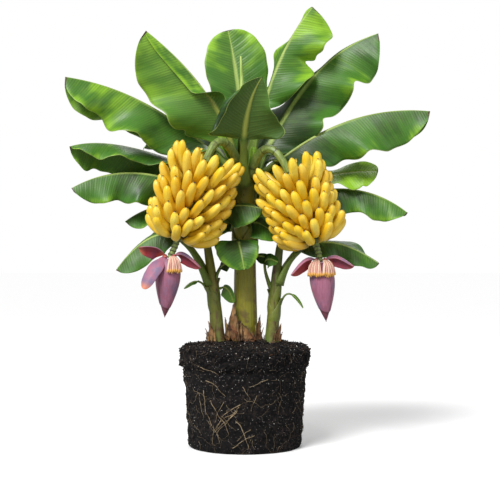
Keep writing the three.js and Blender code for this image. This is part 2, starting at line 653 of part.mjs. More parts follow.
// Adds a piece, cut clear of the pieces already there.
function add(name, colour, make) {
  let solid = make(0);
  const reach = solid.boundingBox();
  for (const other of placed) {
    const apart = [0, 1, 2].some((i) => other.box.min[i] > reach.max[i] || other.box.max[i] < reach.min[i]);
    if (apart) continue;
    solid = solid.subtract(other.solid);
  }
  const [largest] = solid.simplify(simplest).decompose().sort((a, b) => b.volume() - a.volume());
  const grown = make(gap);
  placed.push({ solid: grown, box: grown.boundingBox() });
  const { vertProperties, triVerts } = largest.getMesh();
  const geometry = new THREE.BufferGeometry();
  geometry.setAttribute("position", new THREE.BufferAttribute(vertProperties, 3));
  geometry.setIndex(new THREE.BufferAttribute(triVerts, 1));
  geometry.computeVertexNormals();
  const material = new THREE.MeshStandardMaterial({ color: colour, roughness: 0.55, metalness: 0 });
  const mesh = new THREE.Mesh(geometry, material);
  mesh.name = name;
  plant.add(mesh);
}

for (const [name, stem] of Object.entries(stems))
  add(name, colours.stem, (grow) => stemSolid(stem, grow));
for (const [side, spec] of Object.entries(bunches)) {
  add(`peduncle_${side}`, colours.stalk, (grow) => peduncleSolid(spec, grow));
  add(`rachis_${side}`, colours.stalk, (grow) => rachisSolid(spec, grow));
  for (let hand = 0; hand < bunch.hands; hand++)
    add(`hand_${side}_${hand + 1}`, colours.fruit, (grow) => handSolid(spec, hand, grow));
  add(`bud_${side}`, colours.bud, (grow) => budSolid(spec, grow));
  floretFans[side].forEach((fan, i) =>
    add(`florets_${side}_${i + 1}`, colours.floret, (grow) => floretSolid(spec, fan, grow)),
  );
  bracts[side].forEach((bract, i) =>
    add(`bract_${side}_${i + 1}`, colours.bract, (grow) => bractSolid(spec, bract, grow)),
  );
}
const spear = { from: [-4, 12, 957], via: [-8, 14, 1130], tip: [-14, 20, 1325], foot: 12, end: 3.6 };
const spearPath = pathThrough(spear.from, spear.via, spear.tip);
add("leaf_spear", colours.leafBright, (grow) =>
  limb(spearPath, (t) => lerp(spear.foot, spear.end, t * t), { sides: 7, steps: 6, grow }),
);
[crownLeaves, middleLeaves, sideLeaves].forEach((leaves, storey) =>
  Object.entries(leaves).forEach(([name, leaf], i) =>
    add(name, colours.leaf, (grow) => leafSolid({ ...leaf, seed: 3.1 * i + 40 * storey }, grow)),
  ),
);
for (const [name, scale] of Object.entries(scales))
  add(name, colours.sheath, (grow) => scaleSolid(scale, grow));
add("root_ball", colours.soil, ballSolid);

export default plant;
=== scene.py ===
# Dresses a dwarf banana plant on its bare root ball: stems, broad leaves, fruit, buds, soil and roots.
# Places are in millimetres on the plant, x to its right, y away from its front, z above the ground.
import itertools
import bpy
import numpy as np
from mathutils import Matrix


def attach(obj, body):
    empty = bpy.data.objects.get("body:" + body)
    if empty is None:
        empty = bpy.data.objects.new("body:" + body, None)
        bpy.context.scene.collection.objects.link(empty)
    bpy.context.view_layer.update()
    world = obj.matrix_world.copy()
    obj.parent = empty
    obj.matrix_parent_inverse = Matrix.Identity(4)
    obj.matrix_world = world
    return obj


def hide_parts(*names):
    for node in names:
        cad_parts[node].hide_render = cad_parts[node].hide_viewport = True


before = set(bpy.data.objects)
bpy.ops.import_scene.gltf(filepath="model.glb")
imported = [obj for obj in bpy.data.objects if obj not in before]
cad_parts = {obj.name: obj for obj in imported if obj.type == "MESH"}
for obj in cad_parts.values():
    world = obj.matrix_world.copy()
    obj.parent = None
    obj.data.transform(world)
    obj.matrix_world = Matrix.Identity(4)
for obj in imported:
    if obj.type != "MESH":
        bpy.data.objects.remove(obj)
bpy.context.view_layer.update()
metre = 1000.0  # millimetres in one
fullTurn = 2 * np.pi


# Shapes as whole arrays
def unit(rows):
    # each vector divided by its own length
    return rows / np.maximum(np.linalg.norm(rows, axis=-1, keepdims=True), 1e-9)


def scatter(seed):
    # the part after the point of sin(12.9898 seed) times 43758.5453: a repeatable number from 0 to 1
    wave = np.sin(np.asarray(seed, float) * 12.9898) * 43758.5453
    return wave - np.floor(wave)


def ease(value, low, high):
    # 0 below low, 1 above high, and 3x^2 - 2x^3 between
    x = np.clip((np.asarray(value, float) - low) / (high - low), 0, 1)
    return x * x * (3 - 2 * x)


def mix(a, b, share):
    # a at share 0 and b at share 1
    return a + (b - a) * share


def pathThrough(start, via, tip, t):
    # (1-t)^2 start + 2t(1-t) control + t^2 tip, where the control point makes the curve pass
    # through via at its middle
    a, v, c = (np.array(p, float) for p in (start, via, tip))
    b = 2 * v - a / 2 - c / 2
    t = np.asarray(t, float)[..., None]
    return (1 - t) ** 2 * a + 2 * t * (1 - t) * b + t ** 2 * c, unit((1 - t) * (b - a) + t * (c - b))


def squareTo(direction, tangent):
    # the direction less its part along the tangent, as a unit vector
    d = np.broadcast_to(np.array(direction, float), tangent.shape)
    return unit(d - (d * tangent).sum(-1, keepdims=True) * tangent)


def lumpy(points, size, seed):
    # smooth noise from -1 to 1: a scattered value at each corner of a lattice, blended across each cell
    cell = np.floor(points / size)
    inCell = points / size - cell
    inCell = inCell * inCell * (3 - 2 * inCell)
    total = 0
    for corner in itertools.product((0, 1), repeat=3):
        at = cell + corner
        share = np.prod(np.where(corner, inCell, 1 - inCell), axis=-1)
        total = total + share * scatter(at[..., 0] * 1.27 + at[..., 1] * 3.117 + at[..., 2] * 7.47 + seed)
    return 2 * total - 1


def roughness(points, sizes, seed):
    # lumpy noise of several sizes added up; sizes holds (size, height) pairs
    return sum(height * lumpy(points, size, seed + i * 17) for i, (size, height) in enumerate(sizes))


def ringAlong(path, tangent, radius, sides, top=(0, -1, 0)):
    # rings of a tube: path + radius (cos a top + sin a right), with right square to tangent and top
    up = squareTo(top, tangent)
    right = np.cross(tangent, up)
    a = np.arange(sides) * fullTurn / sides
    spread = np.cos(a)[:, None] * up[..., None, :] + np.sin(a)[:, None] * right[..., None, :]
    radius = np.asarray(radius, float)
    radius = radius[..., None] if radius.ndim < path.ndim else radius
    return path[..., None, :] + radius[..., None] * spread


def skin(grid):
    # the faces of closed tubes from an array of (tubes, rings, corners, 3), with a flat cap on each end
    tubes, rings, corners = grid.shape[:3]
    index = np.arange(tubes * rings * corners).reshape(tubes, rings, corners)
    following = np.roll(index, -1, axis=2)
    sides = np.stack([index[:, :-1], following[:, :-1], following[:, 1:], index[:, 1:]], axis=-1)
    return [sides.reshape(-1, 4), index[:, 0, ::-1], index[:, -1]]


def addPiece(name, points, faces, material, nodes=(), values=None):
    # one object at the origin from an array of points, lists of same-sided faces and values for its points
    mesh = bpy.data.meshes.new(name)
    corners = np.concatenate([f.ravel() for f in faces])
    sizes = np.concatenate([np.full(len(f), f.shape[1]) for f in faces])
    points = points.reshape(-1, 3) / metre
    mesh.vertices.add(len(points))
    mesh.loops.add(len(corners))
    mesh.polygons.add(len(sizes))
    mesh.vertices.foreach_set("co", points.ravel())
    mesh.loops.foreach_set("vertex_index", corners.astype(np.int32))
    mesh.polygons.foreach_set("loop_start", np.concatenate([[0], np.cumsum(sizes)[:-1]]).astype(np.int32))
    mesh.update(calc_edges=True)
    mesh.polygons.foreach_set("use_smooth", np.ones(len(sizes), bool))
    for key, value in (values or {}).items():
        layer = mesh.attributes.new(key, "FLOAT", "POINT")
        each = np.broadcast_to(value, len(points))
        layer.data.foreach_set("value", np.ascontiguousarray(each, dtype=np.float32))
    mesh.materials.append(material)
    piece = bpy.data.objects.new(name, mesh)
    bpy.context.scene.collection.objects.link(piece)
    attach(piece, "root")
    if nodes:
        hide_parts(*nodes)


def spreadOver(values, like):
    # a value for each ring, or each ring and corner, made one for each point of the grid
    values = np.asarray(values, float)
    while values.ndim < like.ndim - 1:
        values = values[..., None]
    return np.broadcast_to(values, like.shape[:-1]).ravel()


# Shader parts that the materials share
def colour(red, green, blue):
    # screen values from 0 to 255 turned into linear light
    c = np.array([red, green, blue]) / 255
    return (*np.where(c <= 0.04045, c / 12.92, ((c + 0.055) / 1.055) ** 2.4).tolist(), 1)


def put(tree, kind, inputs=None, **settings):
    # one node; each input is a plain value or another node's output
    node = tree.nodes.new("ShaderNode" + kind)
    for key, value in settings.items():
        setattr(node, key, value)
    for key, value in (inputs or {}).items():
        if isinstance(value, bpy.types.NodeSocket):
            tree.links.new(value, node.inputs[key])
        else:
            node.inputs[key].default_value = value
    return node


def math(tree, operation, a, b=0.0):
    # a and b put through one operation
    return put(tree, "Math", {0: a, 1: b}, operation=operation).outputs[0]


def times(tree, a, b):
    # a times b
    return math(tree, "MULTIPLY", a, b)


def plus(tree, a, b):
    # a plus b
    return math(tree, "ADD", a, b)


def between(tree, value, low, high, start=0.0, end=1.0):
    # start where value is low, end where it is high, and smooth between
    inputs = {"Value": value, "From Min": low, "From Max": high, "To Min": start, "To Max": end}
    return put(tree, "MapRange", inputs, interpolation_type="SMOOTHSTEP").outputs[0]


def blend(tree, share, a, b, kind="MIX"):
    # colour a at share 0, colour b (or a times b) at share 1
    return put(tree, "Mix", {0: share, 6: a, 7: b}, data_type="RGBA", blend_type=kind).outputs[2]


def noise(tree, vector, scale, detail=3.0, rough=0.55):
    # fractal noise from 0 to 1, with about scale waves to each unit of the vector
    inputs = {"Vector": vector, "Scale": scale, "Detail": detail, "Roughness": rough}
    return put(tree, "TexNoise", inputs).outputs[0]


def value(tree, name):
    # a value that the mesh carries for each of its points
    return put(tree, "Attribute", attribute_name=name).outputs["Fac"]


def newGroup(name, inputs, outputs):
    # an empty node group with named sockets
    group = bpy.data.node_groups.new(name, "ShaderNodeTree")
    for socketName, kind, start in inputs:
        socket = group.interface.new_socket(socketName, in_out="INPUT", socket_type="NodeSocket" + kind)
        if start is not None:
            socket.default_value = start
    for socketName, kind in outputs:
        group.interface.new_socket(socketName, in_out="OUTPUT", socket_type="NodeSocket" + kind)
    return group, group.nodes.new("NodeGroupInput").outputs, group.nodes.new("NodeGroupOutput").inputs


def streakGroup():
    # long streaks: noise on a vector squeezed along z, then pushed apart
    group, given, result = newGroup(
        "streaks",
        [
            ("Vector", "Vector", None), ("Fineness", "Float", 60.0), ("Stretch", "Float", 0.06),
            ("Contrast", "Float", 0.2),
        ],
        [("Mask", "Float"), ("Height", "Float")],
    )
    squeeze = put(group, "CombineXYZ", {"X": 1.0, "Y": 1.0, "Z": given["Stretch"]}).outputs[0]
    vector = put(group, "VectorMath", {0: given["Vector"], 1: squeeze}, operation="MULTIPLY").outputs[0]
    wide = noise(group, vector, given["Fineness"], 4.0, 0.6)
    half = times(group, given["Contrast"], 0.5)
    mask = between(group, wide, math(group, "SUBTRACT", 0.5, half), plus(group, 0.5, half))
    group.links.new(mask, result["Mask"])
    group.links.new(noise(group, vector, times(group, given["Fineness"], 4.0), 2.0), result["Height"])
    return group


def patchGroup():
    # soft blotches: noise cut between two levels
    group, given, result = newGroup(
        "patches",
        [
            ("Vector", "Vector", None), ("Fineness", "Float", 20.0), ("Level", "Float", 0.5),
            ("Softness", "Float", 0.1),
        ],
        [("Mask", "Float")],
    )
    raw = noise(group, given["Vector"], given["Fineness"], 5.0, 0.6)
    mask = between(group, raw, given["Level"], plus(group, given["Level"], given["Softness"]))
    group.links.new(mask, result["Mask"])
    return group


def speckGroup():
    # small round specks at scattered points, of uneven size
    group, given, result = newGroup(
        "specks",
        [("Vector", "Vector", None), ("Fineness", "Float", 200.0), ("Size", "Float", 0.2)],
        [("Mask", "Float")],
    )
    cells = put(group, "TexVoronoi", {"Vector": given["Vector"], "Scale": given["Fineness"]})
    own = put(group, "SeparateColor", {0: cells.outputs["Color"]}).outputs[0]
    size = times(group, given["Size"], math(group, "POWER", own, 3.0))
    near = math(group, "SUBTRACT", size, cells.outputs["Distance"])
    group.links.new(between(group, near, 0.0, 0.06), result["Mask"])
    return group


def veinGroup():
    # side veins: sine waves over the length along the midrib, wide and fine, weaker towards the edge
    group, given, result = newGroup(
        "sideVeins",
        [
            ("Along", "Float", None), ("Across", "Float", None), ("Period", "Float", 9.0),
            ("Vector", "Vector", None),
        ],
        [("Wide", "Float"), ("Fine", "Float"), ("Height", "Float")],
    )
    drift = noise(group, given["Vector"], 9.0, 2.0)
    along = plus(group, given["Along"], times(group, drift, 9.0))
    turn = math(group, "DIVIDE", times(group, along, fullTurn), given["Period"])
    wide = plus(group, times(group, math(group, "SINE", turn), 0.5), 0.5)
    fine = plus(group, times(group, math(group, "SINE", times(group, turn, 4.13)), 0.5), 0.5)
    fade = between(group, given["Across"], 0.1, 1.0, 1.0, 0.35)
    uneven = between(group, noise(group, given["Vector"], 30.0, 2.0), 0.35, 0.65, 0.5, 1.0)
    keep = times(group, fade, uneven)
    group.links.new(times(group, math(group, "POWER", wide, 1.6), keep), result["Wide"])
    group.links.new(times(group, fine, keep), result["Fine"])
    height = plus(group, times(group, wide, 0.88), times(group, fine, 0.12))
    group.links.new(times(group, height, keep), result["Height"])
    return group


groups = {"streaks": streakGroup(), "patches": patchGroup(), "specks": speckGroup(), "veins": veinGroup()}


def use(tree, name, **inputs):
    # one of the shared groups placed in a material with its own values
    node = put(tree, "Group", node_tree=groups[name])
    for key, given in inputs.items():
        if isinstance(given, bpy.types.NodeSocket):
            tree.links.new(given, node.inputs[key])
        else:
            node.inputs[key].default_value = given
    return node.outputs


def newMaterial(name, shader):
    # a material with one Principled shader, given its constant values
    material = bpy.data.materials.new(name)
    material.use_nodes = True
    tree = material.node_tree
    tree.nodes.clear()
    surface = put(tree, "BsdfPrincipled", shader)
    tree.links.new(surface.outputs[0], put(tree, "OutputMaterial").inputs[0])
    return material, tree, surface.inputs, put(tree, "TexCoord").outputs["Object"]


def relief(tree, surface, height, depth, strength=0.6):
    # bumps of the given depth in metres
    bump = put(tree, "Bump", {"Height": height, "Distance": depth, "Strength": strength})
    tree.links.new(bump.outputs[0], surface["Normal"])


print("stage 1: helpers and shader groups ready")

# Finishes
leafLook = {
    "dark": colour(20, 52, 16), "middle": colour(60, 112, 28), "bright": colour(138, 186, 40),
    "below": colour(92, 134, 40), "ribBelow": colour(146, 150, 56),
    # the band strength and the lifts at the edge, by the stalk and at the tip are painted light and shade
    "paintedLightBandStrength": 0.34, "streakStrength": 0.14, "paintedEdgeGlow": 0.2, "paintedStalkShade": -0.28, "paintedTipLight": 0.1,
    "rib": colour(174, 194, 104), "margin": colour(176, 196, 104),
    "stalkGreen": colour(108, 134, 52), "stalkBrown": colour(86, 72, 38), "dry": colour(70, 48, 28),
    "veinPeriod": 9.5, "roughTop": 0.46, "roughBelow": 0.58,
}


def leafMaterial():
    # green by the leaf's tone, partly painted light and shade; lighter and darker in broad bands along the
    # side veins, painted light and shade of the blade's waves, and in streaks along them; yellower towards
    # the edge, a painted glow, and towards the tip, painted light; darker by the stalk, painted shade; fine
    # side veins, a pale midrib and margin, a dry tip
    look = leafLook
    material, tree, surface, place = newMaterial("leafBlade", {"Specular IOR Level": 0.36})
    tone, across, share = value(tree, "tone"), value(tree, "across"), value(tree, "share")
    below, rib, along = value(tree, "below"), value(tree, "rib"), value(tree, "vein")
    veins = use(tree, "veins", Along=along, Across=across, Period=look["veinPeriod"], Vector=place)
    # painted light and shade: broad bands along the side veins stand in for the sheen and shade of the
    # blade's waves
    bandPlace = put(tree, "CombineXYZ", {"X": times(tree, along, 0.013), "Y": across, "Z": tone}).outputs[0]
    paintedLightBands = between(tree, noise(tree, bandPlace, 1.0, 2.0, 0.5), 0.3, 0.7, -0.5, 0.5)
    lift = plus(tree, tone, times(tree, paintedLightBands, look["paintedLightBandStrength"]))
    streakPlace = put(tree, "CombineXYZ", {"X": times(tree, along, 0.07), "Y": across, "Z": tone}).outputs[0]
    streaks = between(tree, noise(tree, streakPlace, 1.0, 2.0, 0.5), 0.3, 0.7, -0.5, 0.5)
    lift = plus(tree, lift, times(tree, streaks, look["streakStrength"]))
    # painted glow: lighter and yellower towards the edge, as of light shining through the thin blade
    lift = plus(tree, lift, between(tree, across, 0.55, 1.0, 0.0, look["paintedEdgeGlow"]))
    # painted shade near the stalk, inside the crown, and painted light towards the tip
    lift = plus(tree, lift, between(tree, share, 0.0, 0.8, look["paintedStalkShade"], look["paintedTipLight"]))
    green = blend(tree, between(tree, lift, 0.0, 0.5), look["dark"], look["middle"])
    green = blend(tree, between(tree, lift, 0.5, 1.0), green, look["bright"])
    green = blend(tree, times(tree, below, 0.38), green, look["below"])
    green = blend(tree, times(tree, veins["Wide"], 0.42), green, look["dark"], "MULTIPLY")
    green = blend(tree, times(tree, veins["Fine"], 0.16), green, look["rib"])
    green = blend(tree, between(tree, across, 0.972, 0.995, 0.0, 0.6), green, look["margin"])
    stalk = use(tree, "streaks", Vector=place, Fineness=34.0, Stretch=0.2, Contrast=0.3)
    ribColour = blend(tree, times(tree, stalk["Mask"], 0.3), look["rib"], look["stalkGreen"])
    ribColour = blend(tree, times(tree, below, 0.75), ribColour, look["ribBelow"])
    green = blend(tree, rib, green, ribColour)
    stem = blend(tree, times(tree, stalk["Mask"], 0.35), look["stalkGreen"], look["stalkBrown"])
    green = blend(tree, between(tree, share, -0.06, 0.03, 1.0, 0.0), green, stem)
    ragged = plus(tree, share, times(tree, noise(tree, place, 90.0, 2.0), 0.012))
    green = blend(tree, between(tree, ragged, 0.994, 0.999), green, look["dry"])
    tree.links.new(green, surface["Base Color"])
    gloss = between(tree, noise(tree, place, 16.0), 0.3, 0.7, -0.07, 0.07)
    rough = plus(tree, between(tree, below, 0.0, 1.0, look["roughTop"], look["roughBelow"]), gloss)
    tree.links.new(rough, surface["Roughness"])
    relief(tree, surface, veins["Height"], 0.0008, 0.45)
    return material


youngLook = {"light": colour(196, 214, 120), "green": colour(132, 172, 70), "seam": colour(92, 132, 52)}


def youngMaterial():
    # pale rolled blade with fine lengthwise streaks and a darker seam that winds up it
    look = youngLook
    material, tree, surface, place = newMaterial("rolledLeaf", {"Roughness": 0.42})
    long = use(tree, "streaks", Vector=place, Fineness=150.0, Stretch=0.04, Contrast=0.3)
    base = blend(tree, long["Mask"], look["light"], look["green"])
    base = blend(tree, value(tree, "seam"), base, look["seam"])
    tree.links.new(base, surface["Base Color"])
    relief(tree, surface, long["Height"], 0.0008)
    return material


stemLook = {
    "green": colour(100, 124, 40), "yellow": colour(156, 150, 38), "grey": colour(82, 108, 50),
    "sunny": colour(148, 138, 20), "brown": colour(86, 58, 40), "purple": colour(84, 46, 38),
    "scar": colour(40, 28, 20),
    "edgeWide": 17,
}


def stemMaterial():
    # olive sheaths with long streaks, brown along their edges and in blotches near the foot; yellow where the
    # stem's tone is high, painted sunlight, and greyer where it is low, painted shade
    look = stemLook
    material, tree, surface, place = newMaterial("leafSheath", {"Coat Weight": 0.08, "Coat Roughness": 0.3})
    long = use(tree, "streaks", Vector=place, Fineness=42.0, Stretch=0.09, Contrast=0.34)
    fine = use(tree, "streaks", Vector=place, Fineness=260.0, Stretch=0.03, Contrast=0.3)
    wide = use(tree, "patches", Vector=place, Fineness=9.0, Level=0.42, Softness=0.2)["Mask"]
    base = blend(tree, long["Mask"], look["green"], look["yellow"])
    base = blend(tree, times(tree, wide, 0.6), base, look["grey"])
    # painted light and shade: a high tone paints the sheath yellow as if sunlit, a low one grey as if shaded
    sunny = value(tree, "tone")
    base = blend(tree, times(tree, sunny, 0.7), base, look["sunny"])
    base = blend(tree, between(tree, sunny, 0.0, 1.0, 0.5, 0.0), base, look["grey"])
    base = blend(tree, times(tree, fine["Mask"], 0.22), base, look["grey"])
    blotch = use(tree, "patches", Vector=place, Fineness=24.0, Level=0.42, Softness=0.2)["Mask"]
    low = value(tree, "low")
    base = blend(tree, times(tree, blotch, plus(tree, low, 0.12)), base, look["brown"])
    edge = value(tree, "edge")
    ragged = times(tree, edge, between(tree, noise(tree, place, 26.0, 4.0), 0.36, 0.64, 0.1, 1.0))
    base = blend(tree, ragged, base, look["purple"])
    scars = use(tree, "specks", Vector=place, Fineness=34.0, Size=0.2)["Mask"]
    base = blend(tree, times(tree, scars, 0.8), base, look["scar"])
    tree.links.new(base, surface["Base Color"])
    tree.links.new(between(tree, long["Height"], 0.3, 0.7, 0.38, 0.56), surface["Roughness"])
    relief(tree, surface, plus(tree, fine["Height"], long["Height"]), 0.0009)
    return material


dryLook = {
    "tan": colour(182, 142, 92), "orange": colour(140, 80, 42), "olive": colour(112, 104, 44),
    "brown": colour(82, 52, 36), "dark": colour(36, 25, 21),
}


def dryMaterial():
    # torn papery sheath: tan and brown streaks along it, darker at its ragged edge
    look = dryLook
    material, tree, surface, place = newMaterial("dryScale", {"Roughness": 0.82})
    long = use(tree, "streaks", Vector=place, Fineness=64.0, Stretch=0.3, Contrast=0.5)
    spots = use(tree, "patches", Vector=place, Fineness=42.0, Level=0.55, Softness=0.12)["Mask"]
    base = blend(tree, long["Mask"], look["tan"], look["brown"])
    rusty = use(tree, "patches", Vector=place, Fineness=27.0, Level=0.46, Softness=0.16)["Mask"]
    base = blend(tree, times(tree, rusty, 0.65), base, look["orange"])
    mossy = between(tree, noise(tree, place, 19.0, 3.0), 0.52, 0.66, 0.0, 0.6)
    base = blend(tree, mossy, base, look["olive"])
    base = blend(tree, times(tree, spots, 0.75), base, look["dark"])
    base = blend(tree, between(tree, value(tree, "across"), 0.55, 1.0, 0.0, 0.8), base, look["dark"])
    tree.links.new(base, surface["Base Color"])
    relief(tree, surface, long["Height"], 0.001, 0.6)
    return material


stalkLook = {
    "green": colour(100, 124, 52), "light": colour(166, 180, 98), "ring": colour(42, 34, 22),
    "brown": colour(84, 68, 38),
}


def stalkMaterial():
    # the bunch's green stalk: light streaks, brown ring scars where the value "ring" is high
    look = stalkLook
    material, tree, surface, place = newMaterial("bunchStalk", {"Coat Weight": 0.1, "Coat Roughness": 0.28})
    long = use(tree, "streaks", Vector=place, Fineness=120.0, Stretch=0.2, Contrast=0.4)
    base = blend(tree, times(tree, long["Mask"], 0.5), look["green"], look["light"])
    spots = use(tree, "patches", Vector=place, Fineness=46.0, Level=0.58, Softness=0.1)["Mask"]
    base = blend(tree, times(tree, spots, 0.5), base, look["brown"])
    base = blend(tree, value(tree, "ring"), base, look["ring"])
    tree.links.new(base, surface["Base Color"])
    tree.links.new(between(tree, long["Height"], 0.3, 0.7, 0.36, 0.55), surface["Roughness"])
    relief(tree, surface, long["Height"], 0.0008)
    return material


fruitLook = {
    "yellow": colour(242, 204, 34), "pale": colour(254, 230, 92), "deep": colour(212, 150, 12),
    "neck": colour(150, 128, 34), "tip": colour(46, 30, 18), "fleck": colour(116, 78, 30),
}


def fruitMaterial():
    # ripe skin: pale and deep yellow by turns, darker and greener towards the neck, partly its own colour and
    # partly painted shade where the fingers crowd, dark at the tip, a few flecks
    look = fruitLook
    material, tree, surface, place = newMaterial("bananaSkin", {"Coat Weight": 0.12, "Coat Roughness": 0.3})
    share = value(tree, "share")
    soft = use(tree, "patches", Vector=place, Fineness=18.0, Level=0.4, Softness=0.26)["Mask"]
    base = blend(tree, soft, look["yellow"], look["pale"])
    base = blend(tree, times(tree, value(tree, "tone"), 0.6), base, look["deep"])
    # towards the neck: partly its own colour, partly painted shade where the fingers crowd round the stalk
    base = blend(tree, between(tree, share, 0.06, 0.42, 0.85, 0.0), base, look["neck"])
    flecks = use(tree, "specks", Vector=place, Fineness=130.0, Size=0.22)["Mask"]
    base = blend(tree, times(tree, flecks, 0.6), base, look["fleck"])
    ragged = plus(tree, share, times(tree, noise(tree, place, 160.0, 2.0), 0.03))
    base = blend(tree, between(tree, ragged, 0.955, 1.0, 0.0, 0.55), base, look["neck"])
    base = blend(tree, between(tree, ragged, 0.995, 1.008), base, look["tip"])
    tree.links.new(base, surface["Base Color"])
    grain = noise(tree, place, 420.0, 2.0)
    tree.links.new(between(tree, grain, 0.2, 0.8, 0.34, 0.48), surface["Roughness"])
    relief(tree, surface, grain, 0.0005, 0.3)
    return material


budLook = {
    "pink": colour(166, 104, 128), "bloom": colour(124, 106, 138), "wine": colour(118, 44, 66),
    "tip": colour(92, 28, 44), "inner": colour(148, 30, 38), "innerLight": colour(196, 84, 60),
    "peach": colour(226, 140, 100),
}


def budMaterial():
    # waxy outside: pink with a blue-grey bloom in lengthwise streaks, wine red at edges and at the tip
    look = budLook
    material, tree, surface, place = newMaterial("budWax", {"Roughness": 0.5, "Sheen Weight": 0.12})
    long = use(tree, "streaks", Vector=place, Fineness=150.0, Stretch=0.07, Contrast=0.3)
    wide = use(tree, "patches", Vector=place, Fineness=15.0, Level=0.4, Softness=0.24)["Mask"]
    base = blend(tree, wide, look["pink"], look["bloom"])
    base = blend(tree, times(tree, long["Mask"], 0.34), base, look["wine"])
    base = blend(tree, value(tree, "edge"), base, look["tip"])
    tree.links.new(base, surface["Base Color"])
    relief(tree, surface, long["Height"], 0.0009)
    return material


def bractMaterial():
    # outside as the bud; inside deep red, orange where it joins; peach at the very tip
    look = budLook
    material, tree, surface, place = newMaterial("liftedBract", {"Sheen Weight": 0.1})
    share, below, vein = value(tree, "share"), value(tree, "below"), value(tree, "vein")
    veins = use(tree, "veins", Along=vein, Across=value(tree, "across"), Period=3.0, Vector=place)
    wide = use(tree, "patches", Vector=place, Fineness=22.0, Level=0.4, Softness=0.24)["Mask"]
    outer = blend(tree, wide, look["pink"], look["bloom"])
    outer = blend(tree, times(tree, veins["Fine"], 0.2), outer, look["wine"])
    inner = blend(tree, wide, look["inner"], look["wine"])
    inner = blend(tree, between(tree, share, 0.02, 0.4, 1.0, 0.0), inner, look["innerLight"])
    base = blend(tree, below, outer, inner)
    tipShare = times(tree, between(tree, share, 0.8, 1.0, 0.0, 0.9), value(tree, "tone"))
    base = blend(tree, tipShare, base, look["peach"])
    base = blend(tree, between(tree, value(tree, "across"), 0.94, 1.0, 0.0, 0.3), base, look["innerLight"])
    tree.links.new(base, surface["Base Color"])
    tree.links.new(between(tree, below, 0.0, 1.0, 0.5, 0.4), surface["Roughness"])
    relief(tree, surface, veins["Height"], 0.0006)
    return material


floretLook = {"cream": colour(248, 226, 198), "pink": colour(196, 112, 108), "yellow": colour(232, 176, 84)}


def floretMaterial():
    # cream with pink between its folds and a yellow mouth
    look = floretLook
    material, tree, surface, place = newMaterial("smallFlower", {"Roughness": 0.48})
    long = use(tree, "streaks", Vector=place, Fineness=300.0, Stretch=0.1, Contrast=0.3)
    base = blend(tree, value(tree, "fold"), look["cream"], look["pink"])
    base = blend(tree, times(tree, long["Mask"], 0.2), base, look["pink"])
    base = blend(tree, between(tree, value(tree, "share"), 0.86, 0.95), base, look["yellow"])
    tree.links.new(base, surface["Base Color"])
    relief(tree, surface, long["Height"], 0.0005)
    return material


soilLook = {
    "black": colour(11, 10, 11), "brown": colour(44, 37, 34), "grey": colour(128, 122, 120),
    "bark": colour(70, 48, 33), "grit": colour(222, 218, 208), "root": colour(176, 156, 122),
    "rootDark": colour(104, 84, 58),
}


def soilMaterial():
    # black and brown crumbs by fine noise, with small grey specks
    look = soilLook
    material, tree, surface, place = newMaterial(
        "pottingSoil", {"Roughness": 0.96, "Specular IOR Level": 0.25}
    )
    fine = use(tree, "patches", Vector=place, Fineness=110.0, Level=0.46, Softness=0.16)["Mask"]
    wide = use(tree, "patches", Vector=place, Fineness=9.0, Level=0.45, Softness=0.25)["Mask"]
    base = blend(tree, times(tree, fine, plus(tree, wide, 0.35)), look["black"], look["brown"])
    bits = use(tree, "specks", Vector=place, Fineness=210.0, Size=0.4)["Mask"]
    base = blend(tree, times(tree, bits, 0.7), base, look["grey"])
    base = blend(tree, value(tree, "bark"), base, look["bark"])
    tree.links.new(base, surface["Base Color"])
    relief(tree, surface, noise(tree, place, 260.0, 5.0, 0.7), 0.003, 0.9)
    return material


def gritMaterial():
    # chalky white, greyer where it is dusty
    look = soilLook
    material, tree, surface, place = newMaterial("whiteGrit", {"Roughness": 0.9})
    dusty = use(tree, "patches", Vector=place, Fineness=240.0, Level=0.5, Softness=0.2)["Mask"]
    base = blend(tree, times(tree, dusty, 0.5), look["grit"], look["grey"])
    tree.links.new(base, surface["Base Color"])
    relief(tree, surface, noise(tree, place, 900.0), 0.0006)
    return material


def rootMaterial():
    # pale straw, browner in patches and by the root's own tone
    look = soilLook
    material, tree, surface, place = newMaterial("paleRoot", {"Roughness": 0.75})
    dirt = use(tree, "patches", Vector=place, Fineness=70.0, Level=0.44, Softness=0.2)["Mask"]
    base = blend(tree, dirt, look["root"], look["rootDark"])
    base = blend(tree, value(tree, "tone"), base, look["brown"])
    tree.links.new(base, surface["Base Color"])
    relief(tree, surface, noise(tree, place, 700.0), 0.0004)
    return material


finish = {
    "leaf": leafMaterial(), "young": youngMaterial(), "stem": stemMaterial(), "dry": dryMaterial(),
    "stalk": stalkMaterial(), "fruit": fruitMaterial(), "bud": budMaterial(), "bract": bractMaterial(),
    "floret": floretMaterial(), "soil": soilMaterial(), "grit": gritMaterial(), "root": rootMaterial(),
}
print("stage 2: finishes ready")

